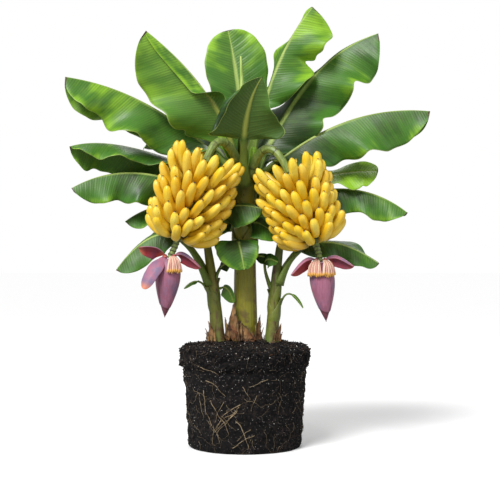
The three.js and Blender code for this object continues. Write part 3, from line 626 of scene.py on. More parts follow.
# Root ball: soil that kept the form of its pot, with crumbs, white grit and fine roots
rootBall = {
    "profile": [
        (0.6, 0), (186, 0), (190, 9), (198.5, 135), (207.5, 268), (217, 278), (217.5, 330), (205, 338),
        (120, 349), (0.6, 354),
    ],
    "rowsPerStretch": [8, 5, 42, 44, 6, 22, 8, 34, 22], "round": 350,
    "sizes": [(46, 2.6), (19, 2.8), (8.5, 2.6), (3.8, 1.5)], "rim": 0.9,
}
soilBits = {  # the rows of the ball that they lie on, from low to high, and their size in millimetres
    "rimCrumbs": {"count": 2600, "low": 104, "high": 184, "size": 5.2, "seed": 21},
    "sideCrumbs": {"count": 2600, "low": 14, "high": 122, "size": 3.4, "seed": 22, "lift": 0.15},
    "bark": {"count": 300, "low": 122, "high": 180, "size": 3.2, "seed": 23, "stretch": 4.0, "lift": 0.5},
    "upperGrit": {"count": 330, "low": 84, "high": 176, "size": 2.3, "seed": 31},
    "lowerGrit": {"count": 165, "low": 14, "high": 96, "size": 1.7, "seed": 32},
}


def ballProfile():
    # the named corners of the profile joined by straight stretches, each with its own number of rows
    corners = np.array(rootBall["profile"], float)
    stretches = [
        mix(a, b, np.linspace(0, 1, rows, endpoint=False)[:, None])
        for a, b, rows in zip(corners[:-1], corners[1:], rootBall["rowsPerStretch"])
    ]
    return np.concatenate([*stretches, corners[-1:]])


def ballSurface(radius, height, turn, outward, sizes):
    # turned round the axis, then moved along outward by lumpy noise, more so near the rim
    points = np.stack([radius * np.sin(turn), -radius * np.cos(turn), height + 0 * turn], axis=-1)
    way = np.stack([outward[0] * np.sin(turn), -outward[0] * np.cos(turn), outward[1] + 0 * turn], axis=-1)
    nearRim = 1 + rootBall["rim"] * ease(height, 255, 330)
    amount = roughness(points, sizes, 5) * nearRim * ease(height, -2, 10)
    return points + way * amount[..., None], way


def rootBallPiece():
    # the profile turned round the axis, with its outward way square to it
    rings = ballProfile()
    along = np.gradient(rings, axis=0)
    outward = unit(np.stack([along[:, 1], -along[:, 0]], axis=1))
    turn = np.arange(rootBall["round"]) * fullTurn / rootBall["round"]
    grid, way = ballSurface(
        rings[:, :1], rings[:, 1:], turn[None, :], (outward[:, :1], outward[:, 1:]), rootBall["sizes"]
    )
    grid[..., 2] = np.maximum(grid[..., 2], 0)
    addPiece("rootBall", grid, skin(grid[None]), finish["soil"], ["root_ball"], {"bark": 0.0})
    return grid, way


def smallLumps(count, low, high, size, seed, stretch=1.0, lift=0.3):
    # twenty-sided lumps, each squeezed and turned at random, set on the ball's rows from low to high
    draw = np.random.default_rng(seed)
    golden = (1 + 5 ** 0.5) / 2
    corner = np.array([(a, b * golden, 0) for a in (-1, 1) for b in (-1, 1)], float)
    corner = unit(np.concatenate([np.roll(corner, k, axis=1) for k in range(3)]))
    near = np.argsort(-(corner @ corner.T), axis=1)[:, 1:6]
    faces = {
        tuple(sorted((i, int(j), int(k))))
        for i in range(12) for j in near[i] for k in near[i] if k in near[j] and j < k
    }
    faces = np.array(sorted(f for f in faces if len(set(f)) == 3))
    a, b, c = (corner[faces[:, i]] for i in range(3))
    outside = np.einsum("ij,ij->i", np.cross(b - a, c - a), a)
    faces[outside < 0] = faces[outside < 0][:, ::-1]
    rows = draw.integers(low, high, count)
    columns = draw.integers(0, ballGrid.shape[1], count)
    scale = draw.uniform(0.45, 1.0, (count, 1, 3)) * size * draw.uniform(0.5, 1.0, (count, 1, 1)) ** 1.5
    scale[..., 0] *= stretch
    frames, _ = np.linalg.qr(draw.normal(size=(count, 3, 3)))
    lumps = np.einsum("nij,nkj->nki", frames, corner * scale * draw.uniform(0.8, 1.15, (count, 12, 1)))
    centre = ballGrid[rows, columns] + ballWay[rows, columns] * (lift * size)
    points = centre[:, None] + lumps
    points[..., 2] = np.maximum(points[..., 2], 0.2)
    turned = np.linalg.det(frames) < 0
    index = faces[None] + 12 * np.arange(count)[:, None, None]
    index[turned] = index[turned][..., ::-1]
    return points, index.reshape(-1, 3)


def rootPaths(x, height, heading, length, bend, wander, rings, seed):
    # steps of equal length over the unrolled side, whose heading bends steadily and wanders in slow waves
    t = np.linspace(0, 1, rings)
    draw = np.random.default_rng(seed)
    phase = draw.uniform(0, fullTurn, (len(x), 2, 1))
    swing = wander[:, None] * (np.sin(7 * t + phase[:, 0]) + 0.6 * np.sin(17 * t + phase[:, 1]))
    way = np.radians(heading[:, None] + bend[:, None] * t + swing)
    step = length[:, None] / rings
    across = x[:, None] + np.cumsum(np.cos(way) * step, axis=1)
    up = np.clip(height[:, None] + np.cumsum(np.sin(way) * step, axis=1), *rootLook["between"])
    outerSide = ballProfile()[13:130]  # from the foot's edge to the top of the lip
    radius = np.interp(up, outerSide[:, 1], outerSide[:, 0]) + rootLook["above"]
    return ballSurface(radius, up, across / rootLook["unrolledAt"], (1.0, 0.0), rootBall["sizes"][:3])[0]


def rootTubes(paths, thick, sides=5):
    # thin tubes that taper to under half their thickness along each path
    tangent = unit(np.gradient(paths, axis=1))
    taper = np.linspace(1, 0.45, paths.shape[1])
    return ringAlong(paths, tangent, thick[:, None] * taper, sides, (0.31, 0.17, 0.93))


rootLook = {
    "rings": 22, "sides": 4, "between": (5, 326), "unrolledAt": 203, "above": 1.6,
    "wander": 9.0, "thinWander": 20.0, "tone": 0.05, "thinTone": (0.1, 0.75), "thinCount": 150,
    "thin": {
        "x": (-640, 640), "height": (14, 262), "heading": (180, 360), "length": (26, 96), "bend": (-50, 50),
        "thick": (0.3, 0.62),
    },
}
# for each root the x and height of its start, its heading, length, bend over its length and thickness
mainRoots = np.array([
    (-158, 286, -14, 78, -12, 0.9), (-138, 240, -22, 92, -26, 1.0), (-146, 214, -84, 190, 26, 1.15),
    (-168, 200, -84, 95, 8, 0.8), (-10, 168, 212, 128, 22, 1.2), (-14, 160, 222, 136, 12, 1.3),
    (-22, 150, 230, 120, -16, 1.1), (-30, 138, 204, 96, 30, 0.9), (-34, 112, -42, 108, -44, 1.2),
    (-46, 20, 34, 92, -8, 1.1), (-8, 224, -52, 52, -14, 0.8), (78, 246, 206, 70, -10, 0.8),
    (-92, 128, -50, 74, -20, 0.9), (-106, 96, 250, 66, 20, 0.8), (40, 196, 240, 58, 18, 0.7),
    (-66, 176, 236, 84, 14, 0.8), (-120, 178, -70, 88, 30, 0.8), (22, 84, 214, 64, 10, 0.7),
], float)

ballGrid, ballWay = rootBallPiece()


def joinedLumps(*kinds):
    # the lumps of several kinds in one array, with their faces counted on, and how many points each kind has
    lumps = [smallLumps(**soilBits[kind]) for kind in kinds]
    counts = [points.shape[0] * points.shape[1] for points, _ in lumps]
    before = np.cumsum([0, *counts[:-1]])
    faces = [index + first for (_, index), first in zip(lumps, before)]
    return np.concatenate([points.reshape(-1, 3) for points, _ in lumps]), faces, counts


soilThreads = {
    "count": 420, "rows": (100, 182), "rings": 7, "sides": 4, "above": 2.4, "length": (9, 34),
    "bend": (-0.5, 0.5),
    "thick": (0.3, 0.8), "tone": (0.55, 1.0),
}


def soilFibres():
    # thin dry threads that lie on the top and over the lip, each a shallow curve in the surface's own plane
    draw = np.random.default_rng(71)
    count = soilThreads["count"]
    rows = draw.integers(*soilThreads["rows"], count)
    columns = draw.integers(0, ballGrid.shape[1], count)
    way = ballWay[rows, columns]
    along = unit(np.cross(way, draw.normal(size=(count, 3))))
    t = np.linspace(-0.5, 0.5, soilThreads["rings"])[None, :, None]
    length = draw.uniform(*soilThreads["length"], (count, 1, 1))
    bend = draw.uniform(*soilThreads["bend"], (count, 1, 1))
    paths = (ballGrid[rows, columns] + way * soilThreads["above"])[:, None] + along[:, None] * t * length
    bow = np.cross(way, along)[:, None] * bend * length * t ** 2
    paths = paths + bow + way[:, None] * 0.12 * length * np.abs(t)
    tubes = rootTubes(paths, draw.uniform(*soilThreads["thick"], count), soilThreads["sides"])
    tone = draw.uniform(*soilThreads["tone"], count)
    addPiece(
        "soilFibres", tubes, skin(tubes), finish["root"], values={"tone": spreadOver(tone, tubes)}
    )


def soilDetails():
    # crumbs with darker bark among them, and white grit
    points, faces, counts = joinedLumps("rimCrumbs", "sideCrumbs", "bark")
    dark = np.repeat([0.0, 0.0, 1.0], counts) * (0.4 + 0.6 * scatter(np.arange(sum(counts)) // 12))
    addPiece("soilCrumbs", points, faces, finish["soil"], values={"bark": dark})
    points, faces, _ = joinedLumps("upperGrit", "lowerGrit")
    addPiece("whiteGrit", points, faces, finish["grit"])


def fineRoots():
    # the named roots, a like cluster on the far side, and thin ones drawn evenly between their limits
    draw = np.random.default_rng(41)
    count = rootLook["thinCount"]
    thin = np.stack([draw.uniform(*limits, count) for limits in rootLook["thin"].values()], axis=1)
    behind = mainRoots[:12] * (1, 0.92, 1, 1, -1, 1) + (650, 0, 20, 0, 0, 0)
    named = np.concatenate([mainRoots, behind])
    every = np.concatenate([named, thin])
    wander = np.repeat([rootLook["wander"], rootLook["thinWander"]], [len(named), count])
    paths = rootPaths(*every.T[:5], wander, rootLook["rings"], 43)
    tubes = rootTubes(paths, every[:, 5], rootLook["sides"])
    dull = np.concatenate([np.full(len(named), rootLook["tone"]), draw.uniform(*rootLook["thinTone"], count)])
    addPiece(
        "fineRoots", tubes, skin(tubes), finish["root"], values={"tone": spreadOver(dull, tubes)}
    )


soilDetails()
fineRoots()
soilFibres()
print("stage 3: root ball, crumbs, grit and roots")

# Stems of wrapped leaf sheaths
# each stem's tone paints light and shade on it: sunny yellow at 1, shaded grey towards 0
stems = {
    "stem_centre": {
        "from": (0, 0, 342), "via": (1, 4, 640), "tip": (0, 8, 955), "foot": 47, "waist": 41, "top": 27,
        "rows": 140, "around": 110,
        "edges": [(52, 10, 1, 1.8), (-78, -14, -1, 1.5), (160, 40, 1, 1.6)], "tone": 1.0,
    },
    "stem_left": {
        "from": (-93, -12, 342), "via": (-108, -8, 530), "tip": (-140, 0, 740), "foot": 31, "waist": 23,
        "top": 10, "rows": 110, "around": 84,
        "edges": [(-30, 130, 1, 1.3), (170, -80, -1, 1.2)], "tone": 0.55,
    },
    "stem_right": {
        "from": (92, -12, 342), "via": (103, -8, 530), "tip": (128, 0, 740), "foot": 29, "waist": 22,
        "top": 10, "rows": 110, "around": 84,
        "edges": [(48, -120, -1, 1.3), (-140, 70, 1, 1.2)], "tone": 0.15,
    },
}


def stemRadius(stem, t):
    # a flare that dies away from the foot, plus a waist that narrows towards the top
    return (stem["foot"] - stem["waist"]) * np.exp(-9 * t) + mix(stem["waist"], stem["top"], t ** 1.6)


def stemPiece(name):
    # a tapered tube; each sheath edge stands proud, drops at once on one side and fades on the other
    stem = stems[name]
    around = stem["around"]
    t = np.linspace(0, 1, stem["rows"])
    path, tangent = pathThrough(stem["from"], stem["via"], stem["tip"], t)
    turn = np.arange(around) * fullTurn / around
    radius = np.repeat(stemRadius(stem, t)[:, None], around, axis=1)
    edge = np.zeros_like(radius)
    for start, twist, side, height in stem["edges"]:
        at = np.radians(start + twist * t)[:, None]
        beyond = np.mod(side * (turn[None] - at), fullTurn)  # how far past the edge, going round
        radius += height * np.clip(1 - beyond / 2.2, 0, 1) - height / 2
        before = np.minimum(beyond, fullTurn - beyond) * radius
        edge = np.maximum(edge, np.exp(-before / 2.2) + 0.7 * np.exp(-beyond * radius / stemLook["edgeWide"]))
    ridges = 0.35 * np.sin(turn * 23 + 3 * np.sin(t * 5)[:, None]) * ease(t, 0.02, 0.2)[:, None]
    grid = ringAlong(path, tangent, radius + ridges, around)
    grid = grid + 0.7 * lumpy(grid * (1, 1, 0.25), 16, 3)[..., None] * unit(grid - path[:, None])
    low = 1 - ease(t, 0.02, 0.36)
    values = {"edge": np.clip(edge, 0, 1).ravel(), "low": spreadOver(low, grid), "tone": stem["tone"]}
    addPiece(name + "_sheaths", grid, skin(grid[None]), finish["stem"], [name], values)


for stemName in stems:
    stemPiece(stemName)
print("stage 4: stems")


# Leaves, and what each has unless it says otherwise. A shape is for both halves of the blade, rightShape
# and leftShape for one of them.
# a leaf's tone sets how light its green is: partly its own colour, partly painted light and shade, low for
# leaves that hang in shade such as the front centre one and high for sunlit outer ones
leafSize = {
    "stalk": 0.25, "curl": 35, "ripple": 18, "waves": 2, "phase": 0, "right": (1, 0, 0), "left": (-1, 0, 0),
    "shape": (0.45, 2.4), "rightDips": (), "leftDips": (), "fold": (0, 0, 0.4, 0.6),
    "rightRoll": (0, 0.6, 0, 1), "leftRoll": (0, 0.6, 0, 1),
    "stalkWidth": 9, "tone": 0.4, "thickness": 1.3, "rows": 100, "half": 16,
    "flutter": 9.0, "corrugation": 0.45, "clasp": 0.9, "lean": 0.42,
}


def bladeShape(s, belly, blunt, tipPower=0.45):
    # (1 - d^k)^p, where d is how far s is from the widest place; below it k is 2.4 and p is 0.7,
    # and above it k is blunt and p is tipPower: a small one squares off the tip, and 1 makes a tent
    below = s < belly
    fromWidest = np.where(below, 1 - s / belly, (s - belly) / (1 - belly))
    return np.maximum(0, 1 - fromWidest ** np.where(below, 2.4, blunt)) ** np.where(below, 0.7, tipPower)


def dipped(s, dips):
    # 1, with a smooth dip or bulge in the edge at each (place, reach, change)
    return np.prod(
        [1 + change * np.exp(-(((s - at) / reach) ** 2)) for at, reach, change in dips] or [1 + 0 * s], axis=0
    )


def turned(way, tangent, degrees):
    # the way turned about the tangent: way cos a + (tangent x way) sin a
    a = np.radians(degrees)[:, None]
    return way * np.cos(a) + np.cross(tangent, way) * np.sin(a)


def halfBlade(k, side, s, rib, way, point, tangent, along, opened, seed):
    # Half a blade, from the midrib at v = 0 to the edge at v = 1. It leaves the midrib along its way and dips
    # by an angle that grows with v, swings with the side veins and rolls over near the edge; the surface adds
    # up width cos(angle) outwards and width sin(angle) down. Along the side veins it also lifts in waves.
    left = side == "left"
    width = np.broadcast_to(np.array(k["width"], float), 2)[int(left)]
    wobble = 1 + 0.02 * np.sin(s * 13 + seed) + 0.012 * np.sin(s * 31 + 2 * seed)
    shape = bladeShape(s, *k.get(side + "Shape", k["shape"])) * dipped(s, k[side + "Dips"])
    half = np.maximum(width * shape * wobble, rib)[:, None]
    v = np.linspace(0, 1, k["half"] + 1)[None] ** 1.2
    x = half * v
    vein = along[:, None] - k["lean"] * x - 0.12 * x * v  # side veins lean towards the tip
    bladeStart = along[np.argmax(s > 0) - 1]
    other = 0.37 * left
    wave = np.sin(
        fullTurn * (k["waves"] * (vein - bladeStart) / (along[-1] - bladeStart) + k["phase"] + other)
    )
    rollBy, rollAt, rollFrom, rollTo = k[side + "Roll"]
    rolled = ease(s, rollFrom - 0.08, rollFrom + 0.08) * (1 - ease(s, rollTo - 0.08, rollTo + 0.08))
    rolled = rolled[:, None] * ease(v, rollAt, min(1, rollAt + 0.3))
    angle = np.radians((k["curl"] + k["ripple"] * wave) * v * opened + rollBy * rolled)
    step = half * np.diff(v)
    out, down = (
        np.concatenate([0 * half, np.cumsum((f(angle[:, 1:]) + f(angle[:, :-1])) / 2 * step, axis=1)], axis=1)
        for f in (np.cos, np.sin)
    )
    normal = (np.cross(tangent, way) if left else np.cross(way, tangent))[:, None]
    way = way[:, None]
    facing = normal * np.cos(angle)[..., None] + way * np.sin(angle)[..., None]
    blade = opened * np.minimum(1, half / 90) * ease(1 - s, 0, 0.12)[:, None]
    lift = k["corrugation"] * np.sin(vein * fullTurn / 19) * np.sin(np.pi * v) ** 0.7
    lift = lift + k["flutter"] * v ** 1.2 * np.sin(vein * fullTurn / 178 + seed + 6 * other)
    lift = lift + 0.15 * k["flutter"] * v ** 2 * np.sin(vein * fullTurn / 63 + 2 * seed + 11 * other)
    ribs = rib[:, None]
    nearRib = np.clip(x / ribs, 0, 1)
    channel = (1 - opened) * ribs * (0.75 * nearRib ** 2 - 0.1)
    channel = channel - opened * 0.22 * ribs * np.clip(1 - (x / (1.7 * ribs)) ** 2, 0, 1)
    keel = ribs * np.sqrt(1 - nearRib ** 2) * mix(1, 0.85, opened)
    thin = k["thickness"] / 2 * mix(1, 0.7, v)
    raised = facing * (lift * blade)[..., None]
    sheet = point[:, None] + way * out[..., None] - normal * down[..., None] + raised
    top = sheet + facing * (thin + channel)[..., None]
    bottom = sheet - facing * (thin + keel)[..., None]
    values = {
        "vein": vein + 37.3 * seed, "across": np.where(half > 1.3 * ribs, v, 0),
        "rib": (1 - ease(x / ribs, 0.55, 1.15)) * mix(0.0, 0.9, opened),
    }
    return top, bottom, values


def leafGrid(leaf, seed):
    # A stalk runs on as the midrib, with half a blade on each side of it. A ring of points runs over the top
    # from the left edge to the right one, and back below.
    k = {**leafSize, **leaf}
    even = np.linspace(0, 1, k["rows"])
    s = mix(even, (1 - np.cos(np.pi * even)) / 2, 0.6)
    # on the stalk: -1 at its foot, 0 at the blade
    q = np.linspace(-1, 0, max(6, k["rows"] // 8), endpoint=False)
    t = np.concatenate([k["stalk"] * (q + 1), mix(k["stalk"], 1, s)])
    share = np.concatenate([q * 0.5, s])
    s, q = np.concatenate([0 * q, s]), np.concatenate([q, 0 * even])
    point, tangent = pathThrough(k["from"], k["via"], k["tip"], t)
    along = np.concatenate([[0], np.cumsum(np.linalg.norm(np.diff(point, axis=0), axis=1))])
    rightWay, leftWay = squareTo(k["right"], tangent), squareTo(k["left"], tangent)
    up = unit(np.cross(rightWay, tangent) + np.cross(tangent, leftWay))
    level = np.cross(tangent, up)
    opened = ease(s, 0, 0.1)[:, None]
    foldRight, foldLeft, foldFrom, foldTo = k["fold"]
    folded = ease(s, foldFrom, foldTo)
    rightWay = turned(unit(mix(level, rightWay, opened)), tangent, foldRight * folded)
    leftWay = turned(unit(mix(-level, leftWay, opened)), tangent, foldLeft * folded)
    rib = mix(k["stalkWidth"], 1.5, s ** 0.8) * (1 + k["clasp"] * np.clip((-0.3 - q) / 0.7, 0, 1) ** 1.4)
    rightTop, rightBottom, rightValues = halfBlade(
        k, "right", s, rib, rightWay, point, tangent, along, opened, seed
    )
    leftTop, leftBottom, leftValues = halfBlade(
        k, "left", s, rib, leftWay, point, tangent, along, opened, seed
    )
    rightTop[:, 0] = (rightTop[:, 0] + leftTop[:, 0]) / 2
    rightBottom[:, 0] = (rightBottom[:, 0] + leftBottom[:, 0]) / 2

    def ring(left, right, leftBack, rightBack):
        # left edge, midrib and right edge over the top, then back below to the left edge
        return np.concatenate([left[:, :0:-1], right, rightBack[:, ::-1], leftBack[:, 1:]], axis=1)

    grid = ring(leftTop, rightTop, leftBottom, rightBottom)
    values = {name: ring(*(leftValues[name], rightValues[name]) * 2).ravel() for name in rightValues}
    flat = np.zeros(rightTop.shape[:2])
    values["below"] = ring(flat, flat, flat + 1, flat + 1).ravel()
    values["share"], values["tone"] = spreadOver(share, grid), spreadOver(k["tone"], grid)
    return grid, values


def leafPiece(name, leaf, seed, material="leaf", suffix="_blade"):
    # the leaf's grid closed into one mesh, in place of its node
    grid, values = leafGrid(leaf, seed)
    addPiece(name + suffix, grid, skin(grid[None]), finish[material], [name], values)


crownLeaves = {
    "leaf_top_back": {
        "from": (-12, 22, 900), "via": (-22, 62, 1190), "tip": (-60, 92, 1428),
        "right": (1, -0.15, 0.15), "left": (-1, -0.35, -0.1), "width": (112, 104),
        "stalk": 0.36, "curl": 14, "ripple": 10, "shape": (0.5, 2.4), "tone": 0.6,
    },
    "leaf_top_right": {
        "from": (12, 8, 905), "via": (92, 10, 1250), "tip": (230, -10, 1488),
        "right": (0.95, -0.3, -0.35), "left": (-0.3, 0.9, 0.1), "width": (127, 70),
        "stalk": 0.32, "curl": 14, "ripple": 30, "waves": 2.1, "phase": 0.35,
        "rightShape": (0.5, 7), "leftShape": (0.35, 3),
        "rightDips": ((0.515, 0.035, -0.3), (0.62, 0.05, -0.1)),
        "leftDips": ((0.75, 0.25, -0.75),), "tone": 0.68,
    },
    "leaf_front_centre": {
        "from": (-2, -36, 885), "via": (4, -146, 1085), "tip": (56, -205, 1222),
        "right": (-1, -0.15, -0.06), "left": (1, -0.15, -0.06), "width": (146, 132),
        "stalk": 0.34, "curl": 16, "ripple": 12, "waves": 1.2, "phase": 0.2, "flutter": 6,
        "rightShape": (0.2, 1.0, 0.85), "leftShape": (0.2, 1.0, 0.8), "leftDips": ((0.62, 0.1, -0.1),),
        "rightRoll": (160, 0.7, 0.16, 0.7), "tone": -0.06,
    },
    "leaf_upper_left": {
        "from": (-26, -8, 910), "via": (-108, -50, 1160), "tip": (-330, -80, 1395),
        "right": (-0.75, 0.05, -0.65), "left": (0.7, -0.1, 0.6), "width": (166, 44),
        "stalk": 0.16, "curl": 10, "ripple": 22, "waves": 1.8, "phase": 0.6,
        "rightShape": (0.6, 2.6), "leftShape": (0.5, 2.4),
        "rightDips": ((0.1, 0.12, -0.32), (0.33, 0.03, -0.12)),
        "fold": (0, -155, 0.38, 0.56), "tone": 0.56,
    },
    "leaf_left_high": {
        "from": (-30, 10, 925), "via": (-310, -8, 1148), "tip": (-602, -60, 1244),
        "right": (0, 0.55, -0.85), "left": (0.12, -0.4, -1), "width": (128, 146),
        "stalk": 0.13, "curl": 16, "ripple": 34, "waves": 2.2, "phase": 0.5,
        "rightShape": (0.6, 4), "leftShape": (0.5, 2.2),
        "leftDips": ((0.74, 0.08, -0.2), (0.43, 0.05, -0.08)), "tone": 0.54,
    },
    "leaf_left_middle": {
        "from": (-34, 18, 880), "via": (-370, 28, 1012), "tip": (-594, -20, 1014),
        "right": (0, 0.5, -0.95), "left": (0.05, -0.85, -0.4), "width": (112, 92),
        "stalk": 0.2, "curl": 20, "ripple": 30, "waves": 2.5, "phase": 0.15,
        "rightShape": (0.4, 4), "leftShape": (0.45, 3), "rightDips": ((0.74, 0.09, -0.12),),
        "leftDips": ((0.3, 0.09, -0.2),),
        "tone": 0.46,
    },
    "leaf_left_low": {
        "from": (-32, 4, 800), "via": (-330, 0, 925), "tip": (-584, -40, 872),
        "right": (0, 0.95, -0.35), "left": (0, -0.45, -1), "width": (90, 120),
        "stalk": 0.3, "curl": 18, "ripple": 28, "waves": 2.6, "phase": 0.7,
        "rightShape": (0.45, 4), "leftShape": (0.3, 3), "leftDips": ((0.6, 0.12, -0.16),), "tone": 0.34,
    },
    "leaf_left_short": {
        "from": (-30, 34, 745), "via": (-235, 60, 822), "tip": (-412, 40, 762),
        "right": (0, 0.95, -0.1), "left": (0, -0.7, -0.8), "width": (55, 72),
        "stalk": 0.35, "curl": 15, "ripple": 22, "waves": 1.5, "phase": 0.3,
        "shape": (0.5, 8), "tone": 0.28,
    },
    "leaf_right_high": {
        "from": (30, 20, 905), "via": (222, 45, 1244), "tip": (455, 20, 1404),
        "right": (0.55, -0.45, -0.75), "left": (-0.75, 0.6, 0.05), "width": (156, 48),
        "stalk": 0.1, "curl": 10, "ripple": 24, "waves": 2.6, "phase": 0.2,
        "rightShape": (0.3, 6), "leftShape": (0.16, 0.6, 1.2),
        "rightDips": ((0.66, 0.04, -0.16), (0.3, 0.03, -0.12)),
        "leftDips": ((0.16, 0.15, 1.9),), "tone": 0.34,
    },
    "leaf_right_middle": {
        "from": (32, 0, 900), "via": (318, -25, 1090), "tip": (622, -50, 1130),
        "right": (0, -0.4, -1), "left": (0, 0.55, -0.85), "width": (146, 124),
        "stalk": 0.12, "curl": 16, "ripple": 30, "waves": 2.2, "phase": 0.6,
        "rightShape": (0.5, 2.2), "leftShape": (0.6, 4), "rightDips": ((0.36, 0.1, -0.12),), "tone": 0.34,
    },
    "leaf_right_short": {
        "from": (34, 26, 835), "via": (245, 50, 912), "tip": (456, 30, 934),
        "right": (0, -0.9, -0.6), "left": (0, 0.55, 0.5), "width": (80, 50),
        "stalk": 0.25, "curl": 15, "ripple": 16, "waves": 1.6, "phase": 0.1,
        "rightShape": (0.5, 9), "leftShape": (0.6, 9), "rightDips": ((0.55, 0.06, -0.2), (0.84, 0.03, -0.12)),
        "tone": 0.84,
    },
    "leaf_right_low": {
        "from": (30, 12, 785), "via": (318, 30, 876), "tip": (552, -10, 790),
        "right": (0, -0.5, -1), "left": (0, 0.95, -0.2), "width": (98, 80),
        "stalk": 0.32, "curl": 18, "ripple": 28, "waves": 2.4, "phase": 0.4,
        "rightShape": (0.3, 3), "leftShape": (0.5, 4), "rightDips": ((0.48, 0.12, -0.2),), "tone": 0.36,
    },
    "leaf_back_centre": {
        "from": (4, 40, 890), "via": (30, 250, 1120), "tip": (60, 470, 1075),
        "right": (0.95, 0, -0.35), "left": (-0.95, 0, -0.35), "width": 105,
        "stalk": 0.14, "curl": 25, "ripple": 24, "waves": 2.2, "phase": 0.1, "leftDips": ((0.6, 0.05, -0.2),),
        "tone": 0.36,
    },
    "leaf_back_left": {
        "from": (-22, 36, 885), "via": (-190, 205, 1108), "tip": (-380, 395, 1045),
        "right": (0.6, 0.6, -0.5), "left": (-0.6, -0.6, -0.6), "width": 105,
        "stalk": 0.12, "shape": (0.36, 2.6), "curl": 25, "ripple": 26, "waves": 2.3, "phase": 0.5,
        "rightDips": ((0.5, 0.05, -0.25),), "tone": 0.4,
    },
    "leaf_back_right": {
        "from": (24, 38, 880), "via": (190, 215, 1096), "tip": (375, 400, 1010),
        "right": (0.6, -0.6, -0.6), "left": (-0.6, 0.6, -0.5), "width": 105,
        "stalk": 0.12, "shape": (0.36, 2.6), "curl": 25, "ripple": 26, "waves": 2.1, "phase": 0.8,
        "leftDips": ((0.66, 0.05, -0.22),), "tone": 0.38,
    },
    "leaf_back_low_left": {
        "from": (-20, 34, 770), "via": (-130, 210, 890), "tip": (-245, 395, 770),
        "right": (0.7, 0.5, -0.5), "left": (-0.7, -0.5, -0.5), "width": 85,
        "stalk": 0.16, "curl": 22, "ripple": 24, "phase": 0.2, "tone": 0.32,
    },
    "leaf_back_low_right": {
        "from": (22, 34, 760), "via": (140, 205, 870), "tip": (260, 380, 745),
        "right": (0.7, -0.5, -0.5), "left": (-0.7, 0.5, -0.5), "width": 85,
        "stalk": 0.16, "curl": 22, "ripple": 24, "phase": 0.9, "tone": 0.32,
    },
}
middleLeaves = {
    "leaf_fold_upper": {
        "from": (-84, -60, 782), "via": (-30, -92, 812), "tip": (60, -105, 800),
        "right": (0.12, -0.45, -0.9), "left": (0.1, 0.95, 0.2), "width": (78, 50),
        "stalk": 0.1, "curl": 10, "ripple": 8, "shape": (0.45, 3), "stalkWidth": 5, "tone": 0.3,
    },
    "leaf_heart_lower": {
        "from": (-28, -42, 700), "via": (-16, -98, 672), "tip": (-2, -116, 598),
        "right": (-0.95, -0.2, 0.25), "left": (0.95, -0.15, 0.2), "width": (86, 64),
        "stalk": 0.2, "curl": 14, "ripple": 6, "shape": (0.35, 1.8), "stalkWidth": 5, "tone": 0.42,
    },
    "leaf_fold_right": {
        "from": (22, -38, 754), "via": (54, -58, 750), "tip": (116, -60, 706),
        "right": (0.2, -0.6, -0.8), "left": (0.35, 0.6, 0.6), "width": (62, 56),
        "stalk": 0.12, "curl": 12, "ripple": 8, "shape": (0.45, 3), "stalkWidth": 5, "tone": 0.24,
    },
    "leaf_fold_left": {
        "from": (-38, -8, 745), "via": (-72, -40, 748), "tip": (-104, -52, 712),
        "right": (0.1, 0.8, -0.5), "left": (0.2, -0.7, -0.7), "width": (34, 38),
        "stalk": 0.2, "curl": 12, "ripple": 8, "stalkWidth": 4, "tone": 0.24,
    },
}
sideLeaves = {
    "leaf_left_bottom": {
        "from": (-118, -10, 545), "via": (-258, -22, 718), "tip": (-434, -40, 596),
        "right": (0.1, 0.75, 0.3), "left": (0.3, -0.55, -0.85), "width": (60, 76),
        "stalk": 0.34, "curl": 18, "ripple": 18, "waves": 2, "phase": 0.45, "rightShape": (0.45, 4),
        "leftShape": (0.45, 6), "stalkWidth": 10.5, "tone": 0.36, "rows": 80, "half": 16, "flutter": 9.0,
    },
    "leaf_right_bottom": {
        "from": (112, -10, 548), "via": (240, -22, 690), "tip": (452, -40, 618),
        "right": (-0.2, -0.55, -0.85), "left": (0, 0.8, 0.3), "width": (66, 60),
        "stalk": 0.3, "curl": 18, "ripple": 18, "waves": 2, "phase": 0.15, "shape": (0.45, 4),
        "stalkWidth": 10.5, "tone": 0.36, "rows": 80, "half": 16, "flutter": 9.0,
    },
    "leaf_left_inner": {
        "from": (-104, -4, 545), "via": (-82, -14, 605), "tip": (-44, -20, 618),
        "right": (0.1, -0.7, -0.7), "left": (-0.1, 0.7, 0.6), "width": (34, 26),
        "stalk": 0.45, "curl": 10, "ripple": 6, "stalkWidth": 5, "tone": 0.2,
    },
    "leaf_right_inner": {
        "from": (98, -6, 508), "via": (66, -20, 618), "tip": (112, -34, 622),
        "right": (0, -0.7, -0.8), "left": (-0.1, 0.7, 0.7), "width": (36, 26),
        "stalk": 0.5, "curl": 10, "ripple": 6, "stalkWidth": 5, "tone": 0.3,
    },
    "leaf_sprig_left": {
        "from": (-122, -16, 515), "via": (-158, -26, 558), "tip": (-206, -32, 534),
        "right": (0, 0.9, 0.3), "left": (0, -0.6, -0.7), "width": (8, 13),
        "stalk": 0.5, "curl": 8, "ripple": 4, "stalkWidth": 3, "tone": 0.4,
    },
    "leaf_round_inner": {
        "from": (-86, -14, 532), "via": (-60, -26, 532), "tip": (-38, -32, 486),
        "right": (0.8, -0.3, 0.5), "left": (-0.9, -0.2, -0.5), "width": (14, 30),
        "stalk": 0.2, "curl": 8, "ripple": 4, "stalkWidth": 3, "tone": 0.3,
    },
    "leaf_sprig_right": {
        "from": (118, -14, 478), "via": (150, -24, 516), "tip": (196, -30, 468),
        "right": (-0.2, -0.8, -0.3), "left": (0.3, 0.5, 0.6), "width": (9, 8),
        "stalk": 0.58, "curl": 8, "ripple": 4, "stalkWidth": 2.6, "tone": 0.4,
    },
}
